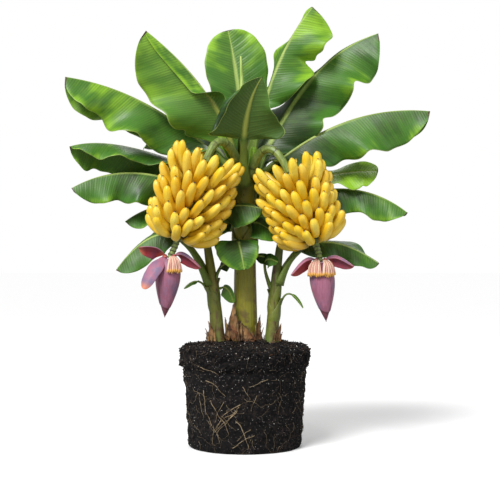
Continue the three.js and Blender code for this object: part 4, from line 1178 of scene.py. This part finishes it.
innerSheaths = {
    "youngSheathLeft": {
        "from": (-14, -32, 905), "via": (-50, -50, 985), "tip": (-84, -62, 1056),
        "right": (0.9, -0.3, 0.35), "left": (-0.9, -0.3, -0.35), "width": (13, 16), "tone": 0.66,
    },
    "youngSheathRight": {
        "from": (14, -38, 900), "via": (24, -52, 955), "tip": (30, -58, 1012),
        "right": (1, -0.2, 0), "left": (-1, -0.2, 0), "width": (11, 12), "tone": 0.6,
    },
    "youngBladeRight": {
        "from": (22, 2, 850), "via": (84, 2, 908), "tip": (156, 0, 950),
        "right": (0.4, -0.4, -0.8), "left": (-0.4, 0.2, 0.8), "width": (38, 36), "tone": 0.2,
    },
    "youngBladeLeft": {
        "from": (-22, 2, 860), "via": (-72, 2, 930), "tip": (-128, 0, 992),
        "right": (0.5, 0.2, 0.7), "left": (-0.5, -0.4, -0.7), "width": (34, 36), "tone": 0.2,
    },
    "youngBladeLow": {
        "from": (24, 8, 640), "via": (62, 2, 642), "tip": (108, -6, 622),
        "right": (0, -0.6, -0.8), "left": (0, 0.6, 0.6), "width": (34, 14), "tone": 0.22,
    },
    "topBladeLeft": {
        "from": (-138, 0, 728), "via": (-150, 10, 778), "tip": (-186, 30, 820),
        "right": (0.8, 0.3, 0.4), "left": (-0.8, 0.3, -0.4), "width": (15, 18), "tone": 0.34,
    },
    "topStubLeft": {
        "from": (-140, 2, 726), "via": (-138, 14, 762), "tip": (-126, 34, 792),
        "right": (0.8, -0.3, 0.2), "left": (-0.8, 0.3, -0.2), "width": (11, 12), "tone": 0.5,
    },
    "topBladeRight": {
        "from": (126, 0, 728), "via": (138, 10, 776), "tip": (172, 30, 816),
        "right": (0.8, 0.3, -0.4), "left": (-0.8, 0.3, 0.4), "width": (18, 15), "tone": 0.34,
    },
    "topStubRight": {
        "from": (128, 2, 726), "via": (126, 14, 760), "tip": (114, 34, 788),
        "right": (0.8, -0.3, 0.2), "left": (-0.8, 0.3, -0.2), "width": (12, 11), "tone": 0.5,
    },
}
crownStalk = {"stalkWidth": 11.5, "clasp": 1.15}
smallLeaf = {"waves": 1, "rows": 54, "half": 10, "flutter": 1.5}
innerShape = {**smallLeaf, "stalk": 0.12, "curl": -14, "ripple": 4, "shape": (0.6, 5), "stalkWidth": 5}
leafGroups = ((crownLeaves, crownStalk), (middleLeaves, smallLeaf), (sideLeaves, smallLeaf))
for place, (leaves, shared) in enumerate(leafGroups):
    for i, (leafName, leaf) in enumerate(leaves.items()):
        leafPiece(leafName, {**shared, **leaf}, 3.1 * i + 40 * place)
for i, (leafName, leaf) in enumerate(innerSheaths.items()):
    grid, values = leafGrid({**innerShape, **leaf}, 2.3 * i)
    addPiece(leafName, grid, skin(grid[None]), finish["leaf"], values=values)
print("stage 5: leaves")

spear = {
    "from": (-4, 12, 957), "via": (-8, 14, 1130), "tip": (-14, 20, 1325), "foot": 12, "end": 3.4,
    "turns": 1.4, "rings": 120, "sides": 32,
}


def spearPiece():
    # a tube that narrows as t^2, wound up: its outer edge is a step that runs round it as it rises
    sides = spear["sides"]
    t = np.linspace(0, 1, spear["rings"])
    a = np.arange(sides) * fullTurn / sides
    path, tangent = pathThrough(spear["from"], spear["via"], spear["tip"], t)
    beyond = np.mod(a[None] - fullTurn * spear["turns"] * t[:, None], fullTurn)
    radius = mix(spear["foot"], spear["end"], t ** 2)[:, None] * mix(1.12, 0.86, beyond / fullTurn)
    grid = ringAlong(path, tangent, radius, sides)
    seam = np.exp(-np.minimum(beyond, fullTurn - beyond) * 3.2)
    addPiece(
        "leaf_spear_rolled", grid, skin(grid[None]), finish["young"], ["leaf_spear"],
        {"seam": seam.ravel()},
    )


spearPiece()

# Old sheaths: the clasping foot of each leaf, and dry scales low down
claspLook = {
    "drop": 120, "wideAngle": 150, "endAngle": 34, "thickness": 1.8, "standsOut": 0.6, "step": 0.6,
    "above": 44, "flare": 9, "tone": 0.3, "edgeBrown": 0.5,
    "rows": 30, "across": 23, "inner": 1.4, "sunk": 3.2, "ribs": 19,
}


def claspPiece(stem, leaves):
    # Each shell hugs its stem below a leaf's stalk. Its half-angle narrows from wide to the stalk's own,
    # and older leaves, which leave the stem lower down, wrap outside younger ones.
    s = stems[stem]
    thickest = stems["stem_centre"]["waist"]
    axis, _ = pathThrough(s["from"], s["via"], s["tip"], np.linspace(0, 1, 60))
    order = sorted(leaves, key=lambda leafName: -leaves[leafName]["from"][2])
    t = np.linspace(0, 1, claspLook["rows"])
    v = np.linspace(-1, 1, claspLook["across"])
    shells, tones = [], []
    for rank, leafName in enumerate(order):
        start = np.array(leaves[leafName]["from"], float)
        drop, above = (claspLook[key] * s["waist"] / thickest for key in ("drop", "above"))
        z = mix(start[2] - drop, start[2] + above, t)
        centre = np.stack([np.interp(z, axis[:, 2], axis[:, i]) for i in (0, 1)] + [z], axis=1)
        shareUp = (z - s["from"][2]) / (s["tip"][2] - s["from"][2])
        standing = (claspLook["standsOut"] + claspLook["step"] * rank) * ease(t, 0, 0.5)
        radius = stemRadius(s, np.clip(shareUp, 0, 1)) + standing
        home = np.array([np.interp(start[2], axis[:, 2], axis[:, i]) for i in (0, 1)])
        turn = np.arctan2(start[0] - home[0], -(start[1] - home[1]))
        half = np.radians(mix(claspLook["wideAngle"], claspLook["endAngle"], ease(t, -0.15, 0.95)))
        lean = 0.22 * np.sin(rank * 2.1 + 1.0)
        a = turn + (v[None] + lean * (1 - t[:, None])) * half[:, None]
        leave = claspLook["flare"] * ease(t, 0.7, 1.0) ** 1.5
        sunk = claspLook["sunk"] * (1 - ease(t, 0, 0.3))[:, None]
        out = radius[:, None] + leave[:, None] * np.cos(v[None] * 0.6) - sunk
        out = out + 0.5 * np.sin(a * claspLook["ribs"] + rank) * (1 - v[None] ** 8)
        thin = claspLook["thickness"] * (1 - 0.72 * np.abs(v[None]) ** 4) * ease(t[:, None], 0, 0.12)
        around = np.stack([np.sin(a), -np.cos(a), 0 * a], axis=-1)
        outer = centre[:, None] + around * (out + thin)[..., None]
        inner = centre[:, None] + around * (out - claspLook["inner"])[..., None]
        shells.append(np.concatenate([outer, inner[:, ::-1]], axis=1))
        edge = claspLook["edgeBrown"] * np.exp(-(1 - np.abs(v)) * 7)[None]
        edge = edge * (0.35 + 0.65 * (1 - t[:, None])) + 0 * a
        tones.append(np.concatenate([edge, edge[:, ::-1]], axis=1))
    grid = np.stack(shells)
    # painted shade: the clasps lose their stem's sunny yellow towards their tops, inside the crown
    sunny = mix(s["tone"], min(s["tone"], claspLook["tone"]), ease(t, 0, 0.8))[:, None]
    values = {"edge": np.clip(np.stack(tones), 0, 1).ravel(), "low": 0.0}
    values["tone"] = np.broadcast_to(sunny, grid.shape[:3]).ravel()
    addPiece(stem + "_clasps", grid, skin(grid), finish["stem"], values=values)


claspPiece("stem_centre", crownLeaves)
for stemSide in ("left", "right"):
    clasping = (f"leaf_{stemSide}_bottom", f"leaf_{stemSide}_inner", f"leaf_sprig_{stemSide}")
    claspPiece(f"stem_{stemSide}", {leafName: sideLeaves[leafName] for leafName in clasping})

scales = {
    "sheath_centre_left": {
        "from": (-38, -36, 358), "via": (-34, -50, 415), "tip": (-38, -38, 484),
        "out": (-0.6, -0.8, 0), "width": 36,
    },
    "sheath_centre_front": {
        "from": (4, -58, 358), "via": (-4, -58, 390), "tip": (-22, -56, 428),
        "out": (-0.1, -1, 0), "width": 31,
    },
    "sheath_centre_right": {
        "from": (38, -38, 358), "via": (42, -38, 392), "tip": (52, -34, 446),
        "out": (0.8, -0.6, 0), "width": 21,
    },
    "sheath_left": {
        "from": (-112, -40, 358), "via": (-112, -40, 385), "tip": (-124, -34, 424),
        "out": (-0.6, -0.8, 0), "width": 19,
    },
    "sheath_right": {
        "from": (106, -40, 358), "via": (110, -38, 382), "tip": (122, -32, 416),
        "out": (0.7, -0.7, 0), "width": 19,
    },
}


scaleShape = {
    "stalk": 0.02, "curl": 42, "ripple": 0, "shape": (0.16, 1.0, 0.8), "stalkWidth": 3, "rows": 38,
    "half": 10, "clasp": 0, "thickness": 1.2, "flutter": 1.2, "corrugation": 0.5,
}


def scalePiece(name, scale, seed, shreds=2):
    # a torn triangle that hugs the stem, with narrower shreds beside it, all crumpled by lumpy noise
    grids, across = [], []
    side = np.cross(scale["out"], (0, 0, 1))
    start, via, tip = (np.array(scale[key], float) for key in ("from", "via", "tip"))
    for shred in range(shreds + 1):
        shift = side * scale["width"] * (0, 0.75, -0.8)[shred] + np.array(scale["out"]) * 1.2 * shred
        tall = (1, 0.62, 0.5)[shred]
        leaf = {
            **scaleShape, "from": start + shift, "via": start + shift + (via - start) * tall,
            "tip": start + shift * 1.3 + (tip - start) * tall, "right": side, "left": -side,
            "width": scale["width"] * (1, 0.42, 0.4)[shred],
        }
        grid, values = leafGrid(leaf, seed + shred)
        crumple = roughness(grid, [(26, 3.4), (12, 1.4), (5, 0.4)], seed + shred)
        grid = grid + crumple[..., None] * np.array(scale["out"])
        fray = lumpy(grid * (1, 1, 0.3), 5, seed) * 3.0 * values["across"].reshape(grid.shape[:2]) ** 3
        grids.append(grid + fray[..., None] * side)
        across.append(values["across"])
    grid = np.stack(grids)
    addPiece(
        name + "_scale", grid, skin(grid), finish["dry"], [name],
        {"across": np.concatenate(across)}
    )


fibres = {
    "count": {"stem_centre": 46, "stem_left": 20, "stem_right": 20}, "rings": 12, "tall": (26, 80),
    "thick": (0.7, 1.5),
}


def fibrePiece():
    # Dark dry threads round the stems' feet. Each rises from the stem's skin by its own height, drawn away
    # from it by t^2 and swinging sideways by a sine wave.
    draw = np.random.default_rng(61)
    t = np.linspace(0, 1, fibres["rings"])[None]
    paths, thick = [], []
    for stemName, count in fibres["count"].items():
        stem = stems[stemName]
        turn = draw.uniform(0, fullTurn, (count, 1)) + 0.34 * np.sin(t * draw.uniform(2, 6, (count, 1)))
        tall = draw.uniform(*fibres["tall"], (count, 1)) * stem["foot"] / stems["stem_centre"]["foot"]
        away = stem["foot"] + draw.uniform(0.5, 5, (count, 1))
        away = away + tall * draw.uniform(-0.05, 0.2, (count, 1)) * t ** 2
        height = stem["from"][2] + 8 + tall * (t - draw.uniform(0, 0.45, (count, 1)) * t ** 3)
        x, y = stem["from"][0] + away * np.sin(turn), stem["from"][1] - away * np.cos(turn)
        paths.append(np.stack([x, y, height], axis=-1))
        thick.append(draw.uniform(*fibres["thick"], count))
    tubes = rootTubes(np.concatenate(paths), np.concatenate(thick))
    addPiece("dryFibres", tubes, skin(tubes), finish["dry"], values={"across": 0.75})


for i, (scaleName, scale) in enumerate(scales.items()):
    scalePiece(scaleName, scale, 11 * i + 2)
fibrePiece()
print("stage 6: clasping sheaths and dry scales")

# Bunches of fruit with their flower buds
finger = {"length": 150, "radius": 14.6, "sides": 16, "rings": 26, "ridge": 0.085, "sway": 8.0}
bunch = {
    # where each hand's rows sit on the stalk
    "hands": ((0.2, 0.3), (0.45, 0.545, 0.635), (0.76, 0.84, 0.915)),
    "perRow": 12, "lastRow": 8, "rootOut": 22, "shrink": 0.26,
    # of a finger's arc, at the top and at the foot of the bunch
    "firstAngle": (16, -15), "lastAngle": (86, 56),
}
peduncle = {"stem": 16, "bunch": 12, "rings": 70, "sides": 36, "ribs": 7}
rachis = {
    "top": 11, "foot": 9, "ringApart": 13.5, "step": 3.6, "scar": 2.1, "rings": 170, "sides": 32,
    "bendsAt": 0.84, "bendShare": 0.16,
}
collar = {"radius": 27, "reach": 0.105, "rings": 26, "sides": 48, "ribs": 12}
bunches = {
    "left": {
        "stemTop": (-14, -28, 935), "archVia": (-76, -95, 1024), "top": (-130, -130, 950),
        "foot": (-228, -132, 682),
        "flower": (-247, -134, 636), "flowerTip": (-263, -140, 443), "swing": 0.5, "reach": 1, "turn": 1,
    },
    "right": {
        "stemTop": (16, -26, 915), "archVia": (76, -92, 1000), "top": (146, -130, 916),
        "foot": (236, -132, 674),
        "flower": (248, -134, 624), "flowerTip": (267, -140, 429), "swing": 0.2, "reach": 0.94, "turn": -1,
    },
}


def fingerSwell(t):
    # a thin neck that fills out, a full body, a shoulder, and a short stub at the end
    shoulder = (np.clip(t - 0.74, 0, 1) / 0.245) ** 2.3
    body = mix(0.32, 1.0, ease(t, 0.0, 0.36)) * np.sqrt(np.clip(1 - shoulder, 0, 1))
    return np.maximum(body, mix(0.22, 0.17, ease(t, 0.965, 1.0)))


def fingerRow(spec, row, share, count):
    # One row of fingers round the stalk. Each leaves it near level and turns up along an arc in one
    # upright plane: reach = L / turn (sin a - sin a0), rise = L / turn (cos a0 - cos a).
    head, foot = np.array(spec["top"], float), np.array(spec["foot"], float)
    up = unit(head - foot)
    front = unit(np.cross(up, (1.0, 0, 0)))
    right = unit(np.cross(front, up))
    size = spec["reach"] * (1 - bunch["shrink"] * share ** 2.2)
    k = np.arange(count)
    seed = row * 31 + k * 7 + spec["swing"] * 50
    place = k + (row % 2) * 0.5 + spec["swing"] + 0.16 * (scatter(seed) - 0.5)
    turn = spec["turn"] * place * fullTurn / count
    outward = np.cos(turn)[:, None] * front + np.sin(turn)[:, None] * right
    length = (finger["length"] * size * (0.94 + 0.13 * scatter(seed + 3)))[:, None]
    radius = (finger["radius"] * (0.96 + 0.07 * scatter(seed + 5)))[:, None]
    first = np.radians(mix(*bunch["firstAngle"], share) + 9 * (scatter(seed + 7) - 0.5))[:, None]
    turnBy = np.radians(mix(*bunch["lastAngle"], share) + 12 * (scatter(seed + 9) - 0.5))[:, None] - first
    t = mix(np.linspace(0, 1, finger["rings"]), ease(np.linspace(0, 1, finger["rings"]), 0, 1), 0.35)[None]
    angle = first + turnBy * t
    reach = length / turnBy * (np.sin(angle) - np.sin(first))
    rise = length / turnBy * (np.cos(first) - np.cos(angle))
    side = np.cross(up, outward)
    start = mix(head, foot, share) + outward * bunch["rootOut"]
    path = start[:, None] + outward[:, None] * reach[..., None] + up * rise[..., None]
    sway = finger["sway"] * (scatter(seed + 11) - 0.5)[:, None] * np.sin(np.pi * t)
    path = path + side[:, None] * sway[..., None]
    heading = outward[:, None] * np.cos(angle)[..., None] + up * np.sin(angle)[..., None]
    above = np.cross(heading, side[:, None])
    a = np.arange(finger["sides"]) * fullTurn / finger["sides"]
    ridges = finger["ridge"] * np.cos(5 * a + 0.6) * ease(t, 0.1, 0.4)[..., None]
    ridges = 1 + ridges * (1 - ease(t, 0.9, 1.0))[..., None]
    swell = (radius * fingerSwell(t))[..., None] * ridges
    across = np.cross(heading, above)
    spreadOut = np.cos(a)[:, None] * above[:, :, None] + np.sin(a)[:, None] * across[:, :, None]
    grid = path[:, :, None] + swell[..., None] * spreadOut
    tone = scatter(seed + 13)[:, None] * 0.8 + 0 * t
    return grid, spreadOver(t + 0 * angle, grid), spreadOver(tone, grid)


def handPieces(side):
    # one piece for each hand, of its rows of fingers, the last row of the bunch with fewer
    spec = bunches[side]
    rowNumber = 0
    for hand, shares in enumerate(bunch["hands"]):
        rows = []
        for share in shares:
            last = share == bunch["hands"][-1][-1]
            rows.append(fingerRow(spec, rowNumber, share, bunch["lastRow"] if last else bunch["perRow"]))
            rowNumber += 1
        grid = np.concatenate([row[0] for row in rows])
        values = {
            "share": np.concatenate([row[1] for row in rows]),
            "tone": np.concatenate([row[2] for row in rows]),
        }
        name = f"hand_{side}_{hand + 1}"
        addPiece(name + "_fingers", grid, skin(grid), finish["fruit"], [name], values)


def stalkPieces(side):
    # The peduncle arches from the crown to the bunch; the rachis runs down through the hands and hangs
    # over the bud, with a raised ring scar at each place a bract has fallen; a collar carries each hand.
    spec = bunches[side]
    t = np.linspace(0, 1, peduncle["rings"])
    path, tangent = pathThrough(spec["stemTop"], spec["archVia"], spec["top"], t)
    a = np.arange(peduncle["sides"]) * fullTurn / peduncle["sides"]
    ribs = 0.5 * np.sin(a * peduncle["ribs"])[None] * ease(t, 0, 0.3)[:, None]
    grid = ringAlong(
        path, tangent, mix(peduncle["stem"], peduncle["bunch"], t)[:, None] + ribs, peduncle["sides"]
    )
    scar = np.exp(-((np.mod(t * 3.3 + 0.2, 1) - 0.5) / 0.035) ** 2) * 0.8
    addPiece(f"peduncle_{side}_arch", grid, skin(grid[None]), finish["stalk"], [f"peduncle_{side}"],
             {"ring": spreadOver(scar, grid)})
    head, foot, flower = (np.array(spec[key], float) for key in ("top", "foot", "flower"))
    t = np.linspace(0, 1, rachis["rings"])
    straight = mix(head, foot, np.minimum(t / rachis["bendsAt"], 1)[:, None])
    beyond = np.clip((t - rachis["bendsAt"]) / rachis["bendShare"], 0, 1)[:, None]
    run = (foot - head) * (np.linalg.norm(flower - foot) / np.linalg.norm(foot - head))
    path = straight + run * beyond + (flower - foot - run) * beyond ** 1.6
    tangent = unit(np.gradient(path, axis=0))
    along = np.concatenate([[0], np.cumsum(np.linalg.norm(np.diff(path, axis=0), axis=1))])
    a = np.arange(rachis["sides"]) * fullTurn / rachis["sides"]
    warp = 0.16 * np.sin(along / 23)[:, None] + 0.14 * np.sin(a + 1.0 + along[:, None] / 40)
    warp = warp + 0.05 * np.sin(3 * a)
    ring = np.mod(along[:, None] / rachis["ringApart"] + warp, 1)
    turnOf = np.floor(along[:, None] / rachis["ringApart"] + warp)
    knob = 0.5 + 0.5 * np.cos(5 * (a[None] - turnOf * 2.3))
    step = rachis["step"] * ring ** 1.5 * (0.45 + 0.55 * knob)
    radius = mix(rachis["top"], rachis["foot"], t)[:, None] + step
    grid = ringAlong(path, tangent, radius, rachis["sides"])
    fromRing = np.minimum(ring, 1 - ring) * rachis["ringApart"]
    scar = np.clip(np.exp(-(fromRing / rachis["scar"]) ** 2) * (0.75 + 0.25 * knob), 0, 1)
    addPiece(f"rachis_{side}_stalk", grid, skin(grid[None]), finish["stalk"], [f"rachis_{side}"],
             {"ring": scar.ravel()})
    middle = np.array([[np.mean(shares)] for shares in bunch["hands"]])
    t = np.linspace(-1, 1, collar["rings"])[None]
    path = mix(head, foot, (middle + collar["reach"] * t)[..., None])
    tangent = np.broadcast_to(unit(foot - head), path.shape)
    a = np.arange(collar["sides"]) * fullTurn / collar["sides"]
    rounded = np.sqrt(1 - 0.72 * t ** 4)[..., None]
    radius = collar["radius"] * rounded * (1 + 0.05 * np.sin(a * collar["ribs"])[None, None])
    grid = ringAlong(path, tangent, radius, collar["sides"])
    addPiece(f"collars_{side}", grid, skin(grid), finish["stalk"], values={"ring": 0.55})


bud = {"radius": 40, "below": 1, "lap": 1.5, "lapShare": 0.8, "rings": 112, "sides": 84, "ribs": 38}


def budSwell(t):
    # sin(pi (0.05 + 0.95 t)^0.62)^0.85: widest near the top, drawn out to the tip
    return np.sin(np.pi * (0.05 + 0.95 * t) ** 0.62) ** 0.85


def budPiece(side):
    # A long heart, radius times budSwell. Outer bracts lap over it: their edge runs down one side and
    # round above the tip, and the surface drops there.
    spec = bunches[side]
    top, tip = np.array(spec["flower"], float), np.array(spec["flowerTip"], float)
    t = np.linspace(0, 1, bud["rings"])
    t = mix(t, ease(t, 0, 1), 0.4)
    path = mix(top + unit(tip - top) * bud["below"], tip, t[:, None])
    tangent = np.broadcast_to(unit(tip - top), path.shape)
    a = np.arange(bud["sides"]) * fullTurn / bud["sides"]
    sideTurn = 1 if side == "left" else -1
    lapEnd = bud["lapShare"] + 0.05 * np.cos(a + 0.5)
    over = 1 - ease(t[:, None], lapEnd - 0.008, lapEnd + 0.008)
    seam = np.mod(sideTurn * a[None] - 0.5 - 0.55 * t[:, None], fullTurn)
    lap = bud["lap"] * np.clip(1 - seam / 2.4, 0, 1)
    radius = np.maximum(2.2, bud["radius"] * budSwell(t))[:, None] + over * bud["lap"] - 0.8 + lap * over
    radius = radius + 0.28 * np.sin(a * bud["ribs"])[None] * budSwell(t)[:, None]
    grid = ringAlong(path, tangent, np.maximum(radius, 1.2), bud["sides"])
    nearSeam = np.exp(-np.minimum(seam, fullTurn - seam) * 16) * over * 0.6
    nearEnd = np.exp(-np.abs(t[:, None] - lapEnd) / 0.01) * 0.75
    edge = np.clip(
        np.maximum(nearSeam, nearEnd) + 0.55 * (1 - over) + 0.35 * ease(t, 0.7, 1.0)[:, None], 0, 1
    )
    addPiece(
        f"bud_{side}_body", grid, skin(grid[None]), finish["bud"], [f"bud_{side}"],
        {"edge": edge.ravel()}
    )


bracts = {
    "left": [
        {
            "via": (-42, -10, 34), "tip": (-100, -22, 36), "right": (0.1, 0.35, -0.9),
            "left": (0.1, -0.8, 0.2), "width": (40, 16), "tone": 0.5,
        },
        {
            "via": (-48, -50, -34), "tip": (-80, -66, -98), "right": (-0.75, 0.3, 0.3),
            "left": (0.75, -0.3, -0.3), "width": 26, "tone": 1.0,
        },
        {
            "via": (48, -20, 20), "tip": (104, -40, -30), "right": (0, -0.9, -0.35), "left": (0, 0.3, -0.95),
            "width": (17, 38), "tone": 0.1,
        },
    ],
    "right": [
        {
            "via": (-50, -20, 12), "tip": (-98, -38, -42), "right": (0, 0.3, -0.95), "left": (0, -0.9, -0.35),
            "width": (38, 17), "tone": 0.15,
        },
        {
            "via": (50, -20, 22), "tip": (108, -36, -14), "right": (0, -0.9, -0.35), "left": (0, 0.3, -0.95),
            "width": (17, 38), "tone": 0.1,
        },
    ],
}
bractShape = {
    "stalk": 0.06, "curl": 30, "ripple": 0, "shape": (0.45, 2.6), "stalkWidth": 6, "thickness": 3.2,
    "rows": 64, "half": 14, "flutter": 0.5, "corrugation": 0.25, "clasp": 0.3,
}
floret = {"fans": {"left": (0.42,), "right": (-0.5, 0.62)}, "count": 8, "radius": 2.3, "spread": 0.055,
          "opens": (0.35, 1.2), "fall": 49, "rings": 22, "sides": 10}


def bractPieces(side):
    # thick small leaves, placed from the top of the bud
    top = np.array(bunches[side]["flower"], float)
    for i, bract in enumerate(bracts[side]):
        leaf = {
            **bractShape, **bract, "from": top + (np.sign(bract["tip"][0]) * 14, -5, 5),
            "via": top + bract["via"], "tip": top + bract["tip"],
        }
        leafPiece(f"bract_{side}_{i + 1}", leaf, 2.0 + i, "bract", "_lifted")


def fanPoint(top, turnBy, out, rise):
    # the place at a turn round the stalk, a distance out and a rise
    return top + np.stack([out * np.sin(turnBy), -out * np.cos(turnBy), rise + 0 * turnBy], axis=1)


def floretPieces(side):
    # two layers of small tubes fan out from beside the stalk and lie down over the bud's shoulder
    spec = bunches[side]
    top, tip = np.array(spec["flower"], float), np.array(spec["flowerTip"], float)
    top = top + unit(tip - top) * bud["below"]
    for number, fan in enumerate(floret["fans"][side]):
        layer = np.repeat([0, 1], floret["count"])
        i = np.tile(np.arange(floret["count"]), 2) + layer * 0.5 - 0.25
        turn = fan + (i - (floret["count"] - 1) / 2) * floret["spread"] * 2
        narrow, wide = (fan + (turn - fan) * share for share in floret["opens"])
        fall = floret["fall"] - 4 * layer - 5 * scatter(i * 3.1 + number)
        start = fanPoint(top, narrow, 15, 7)
        via = fanPoint(top, turn, 40.5 + 2.6 * layer, -4)
        end = fanPoint(top, wide, 49 + 2.4 * layer, -fall)
        t = np.linspace(0, 1, floret["rings"])[None, :, None]
        control = 2 * via - start / 2 - end / 2
        path = (1 - t) ** 2 * start[:, None] + 2 * t * (1 - t) * control[:, None] + t ** 2 * end[:, None]
        path = path + 0.8 * np.sin(t * 5 + i[:, None, None] * 2) * (1, 1, 0)
        tangent = unit(np.gradient(path, axis=1))
        a = np.arange(floret["sides"]) * fullTurn / floret["sides"]
        u = t[..., 0]
        mouth = 1 + 0.3 * ease(u, 0.86, 0.97) - 0.7 * ease(u, 0.97, 1.0)
        radius = (floret["radius"] * mix(0.75, 1.0, u) * mouth)[..., None] * (1 + 0.12 * np.cos(5 * a))
        radius = np.broadcast_to(radius, (len(turn), floret["rings"], floret["sides"]))
        grid = ringAlong(path, tangent, radius, floret["sides"], (0.1, -0.9, 0.2))
        fold = np.broadcast_to((0.5 - 0.5 * np.cos(5 * a)) * 0.5, radius.shape)
        even = np.broadcast_to((np.arange(len(turn)) % 2)[:, None, None] * 0.4, radius.shape)
        values = {"share": spreadOver(u + 0 * path[..., 0], grid), "fold": (fold + even).ravel()}
        name = f"florets_{side}_{number + 1}"
        addPiece(name + "_fan", grid, skin(grid), finish["floret"], [name], values)


for bunchSide in bunches:
    handPieces(bunchSide)
    stalkPieces(bunchSide)
    budPiece(bunchSide)
    bractPieces(bunchSide)
    floretPieces(bunchSide)
print("stage 7: fruit, stalks, buds and small flowers")

# Pale floor, soft studio light and the camera
studio = {
    "cameraPlace": (0.017, -4.0, 0.664), "lens": 84.7, "skyLight": 0.42, "floorBounce": 0.4,
    "floorSeen": 0.97, "floorHalf": 30,
    "aimAt": (0, 0, 0.75),
    "sun": {"slope": 44, "turn": -30, "spread": 24, "strength": 2.7},
    "key": {"place": (-2.2, -2.6, 3.4), "size": 2.0, "power": 55},
    "fill": {"place": (2.8, -2.2, 2.0), "size": 2.2, "power": 22},
    "back": {"place": (0.6, 2.6, 3.0), "size": 2.2, "power": 40},
}


def areaLight(name, place, size, power):
    # a square lamp turned towards the middle of the plant
    data = bpy.data.lights.new(name, "AREA")
    data.size, data.energy = size, power
    light = bpy.data.objects.new(name, data)
    bpy.context.scene.collection.objects.link(light)
    light.location = place
    aim = np.array(studio["aimAt"]) - place
    light.rotation_euler = (
        np.arctan2(np.hypot(aim[0], aim[1]), -aim[2]), 0, np.arctan2(aim[0], -aim[1]) + np.pi
    )
    return light


def softSun(slope, turn, spread, strength):
    # a wide sun, tipped by slope and then turned
    data = bpy.data.lights.new("sun", "SUN")
    data.angle, data.energy = np.radians(spread), strength
    light = bpy.data.objects.new("sun", data)
    bpy.context.scene.collection.objects.link(light)
    light.rotation_euler = (np.radians(slope), 0, np.radians(turn))
    return light


def buildStudio():
    # a white floor and room, three lamps, a sun and a level camera
    mesh = bpy.data.meshes.new("floor")
    far = studio["floorHalf"]
    mesh.from_pydata([(-far, -far, 0), (far, -far, 0), (far, far, 0), (-far, far, 0)], [], [(0, 1, 2, 3)])
    floor = bpy.data.objects.new("floor", mesh)
    bpy.context.scene.collection.objects.link(floor)
    paper, tree, surface, _ = newMaterial("paleFloor", {"Roughness": 0.9, "Specular IOR Level": 0.1})
    # white to the eye, but it throws less light back up
    seen = put(tree, "LightPath").outputs["Is Camera Ray"]
    paperGrey = put(
        tree, "MapRange", {"Value": seen, "To Min": studio["floorBounce"], "To Max": studio["floorSeen"]}
    )
    tree.links.new(paperGrey.outputs[0], surface["Base Color"])
    mesh.materials.append(paper)
    lights = [areaLight(name, **studio[name]) for name in ("key", "fill", "back")]
    softSun(**studio["sun"])
    world = bpy.data.worlds.new("paleRoom")
    world.use_nodes = True
    tree = world.node_tree
    tree.nodes.clear()
    seen = put(tree, "LightPath").outputs["Is Camera Ray"]
    strength = put(tree, "MapRange", {"Value": seen, "To Min": studio["skyLight"], "To Max": 1.0}).outputs[0]
    sky = put(tree, "Background", {"Color": (1, 1, 1, 1), "Strength": strength})
    tree.links.new(sky.outputs[0], put(tree, "OutputWorld").inputs[0])
    bpy.context.scene.world = world
    camera = bpy.data.objects.new("camera", bpy.data.cameras.new("camera"))
    camera.data.lens = studio["lens"]
    camera.data.sensor_width = 36
    camera.location = studio["cameraPlace"]
    camera.rotation_euler = (np.pi / 2, 0, 0)
    bpy.context.scene.collection.objects.link(camera)
    bpy.context.scene.camera = camera
    bpy.context.scene.view_settings.view_transform = "Standard"


buildStudio()
print("stage 8: studio ready")
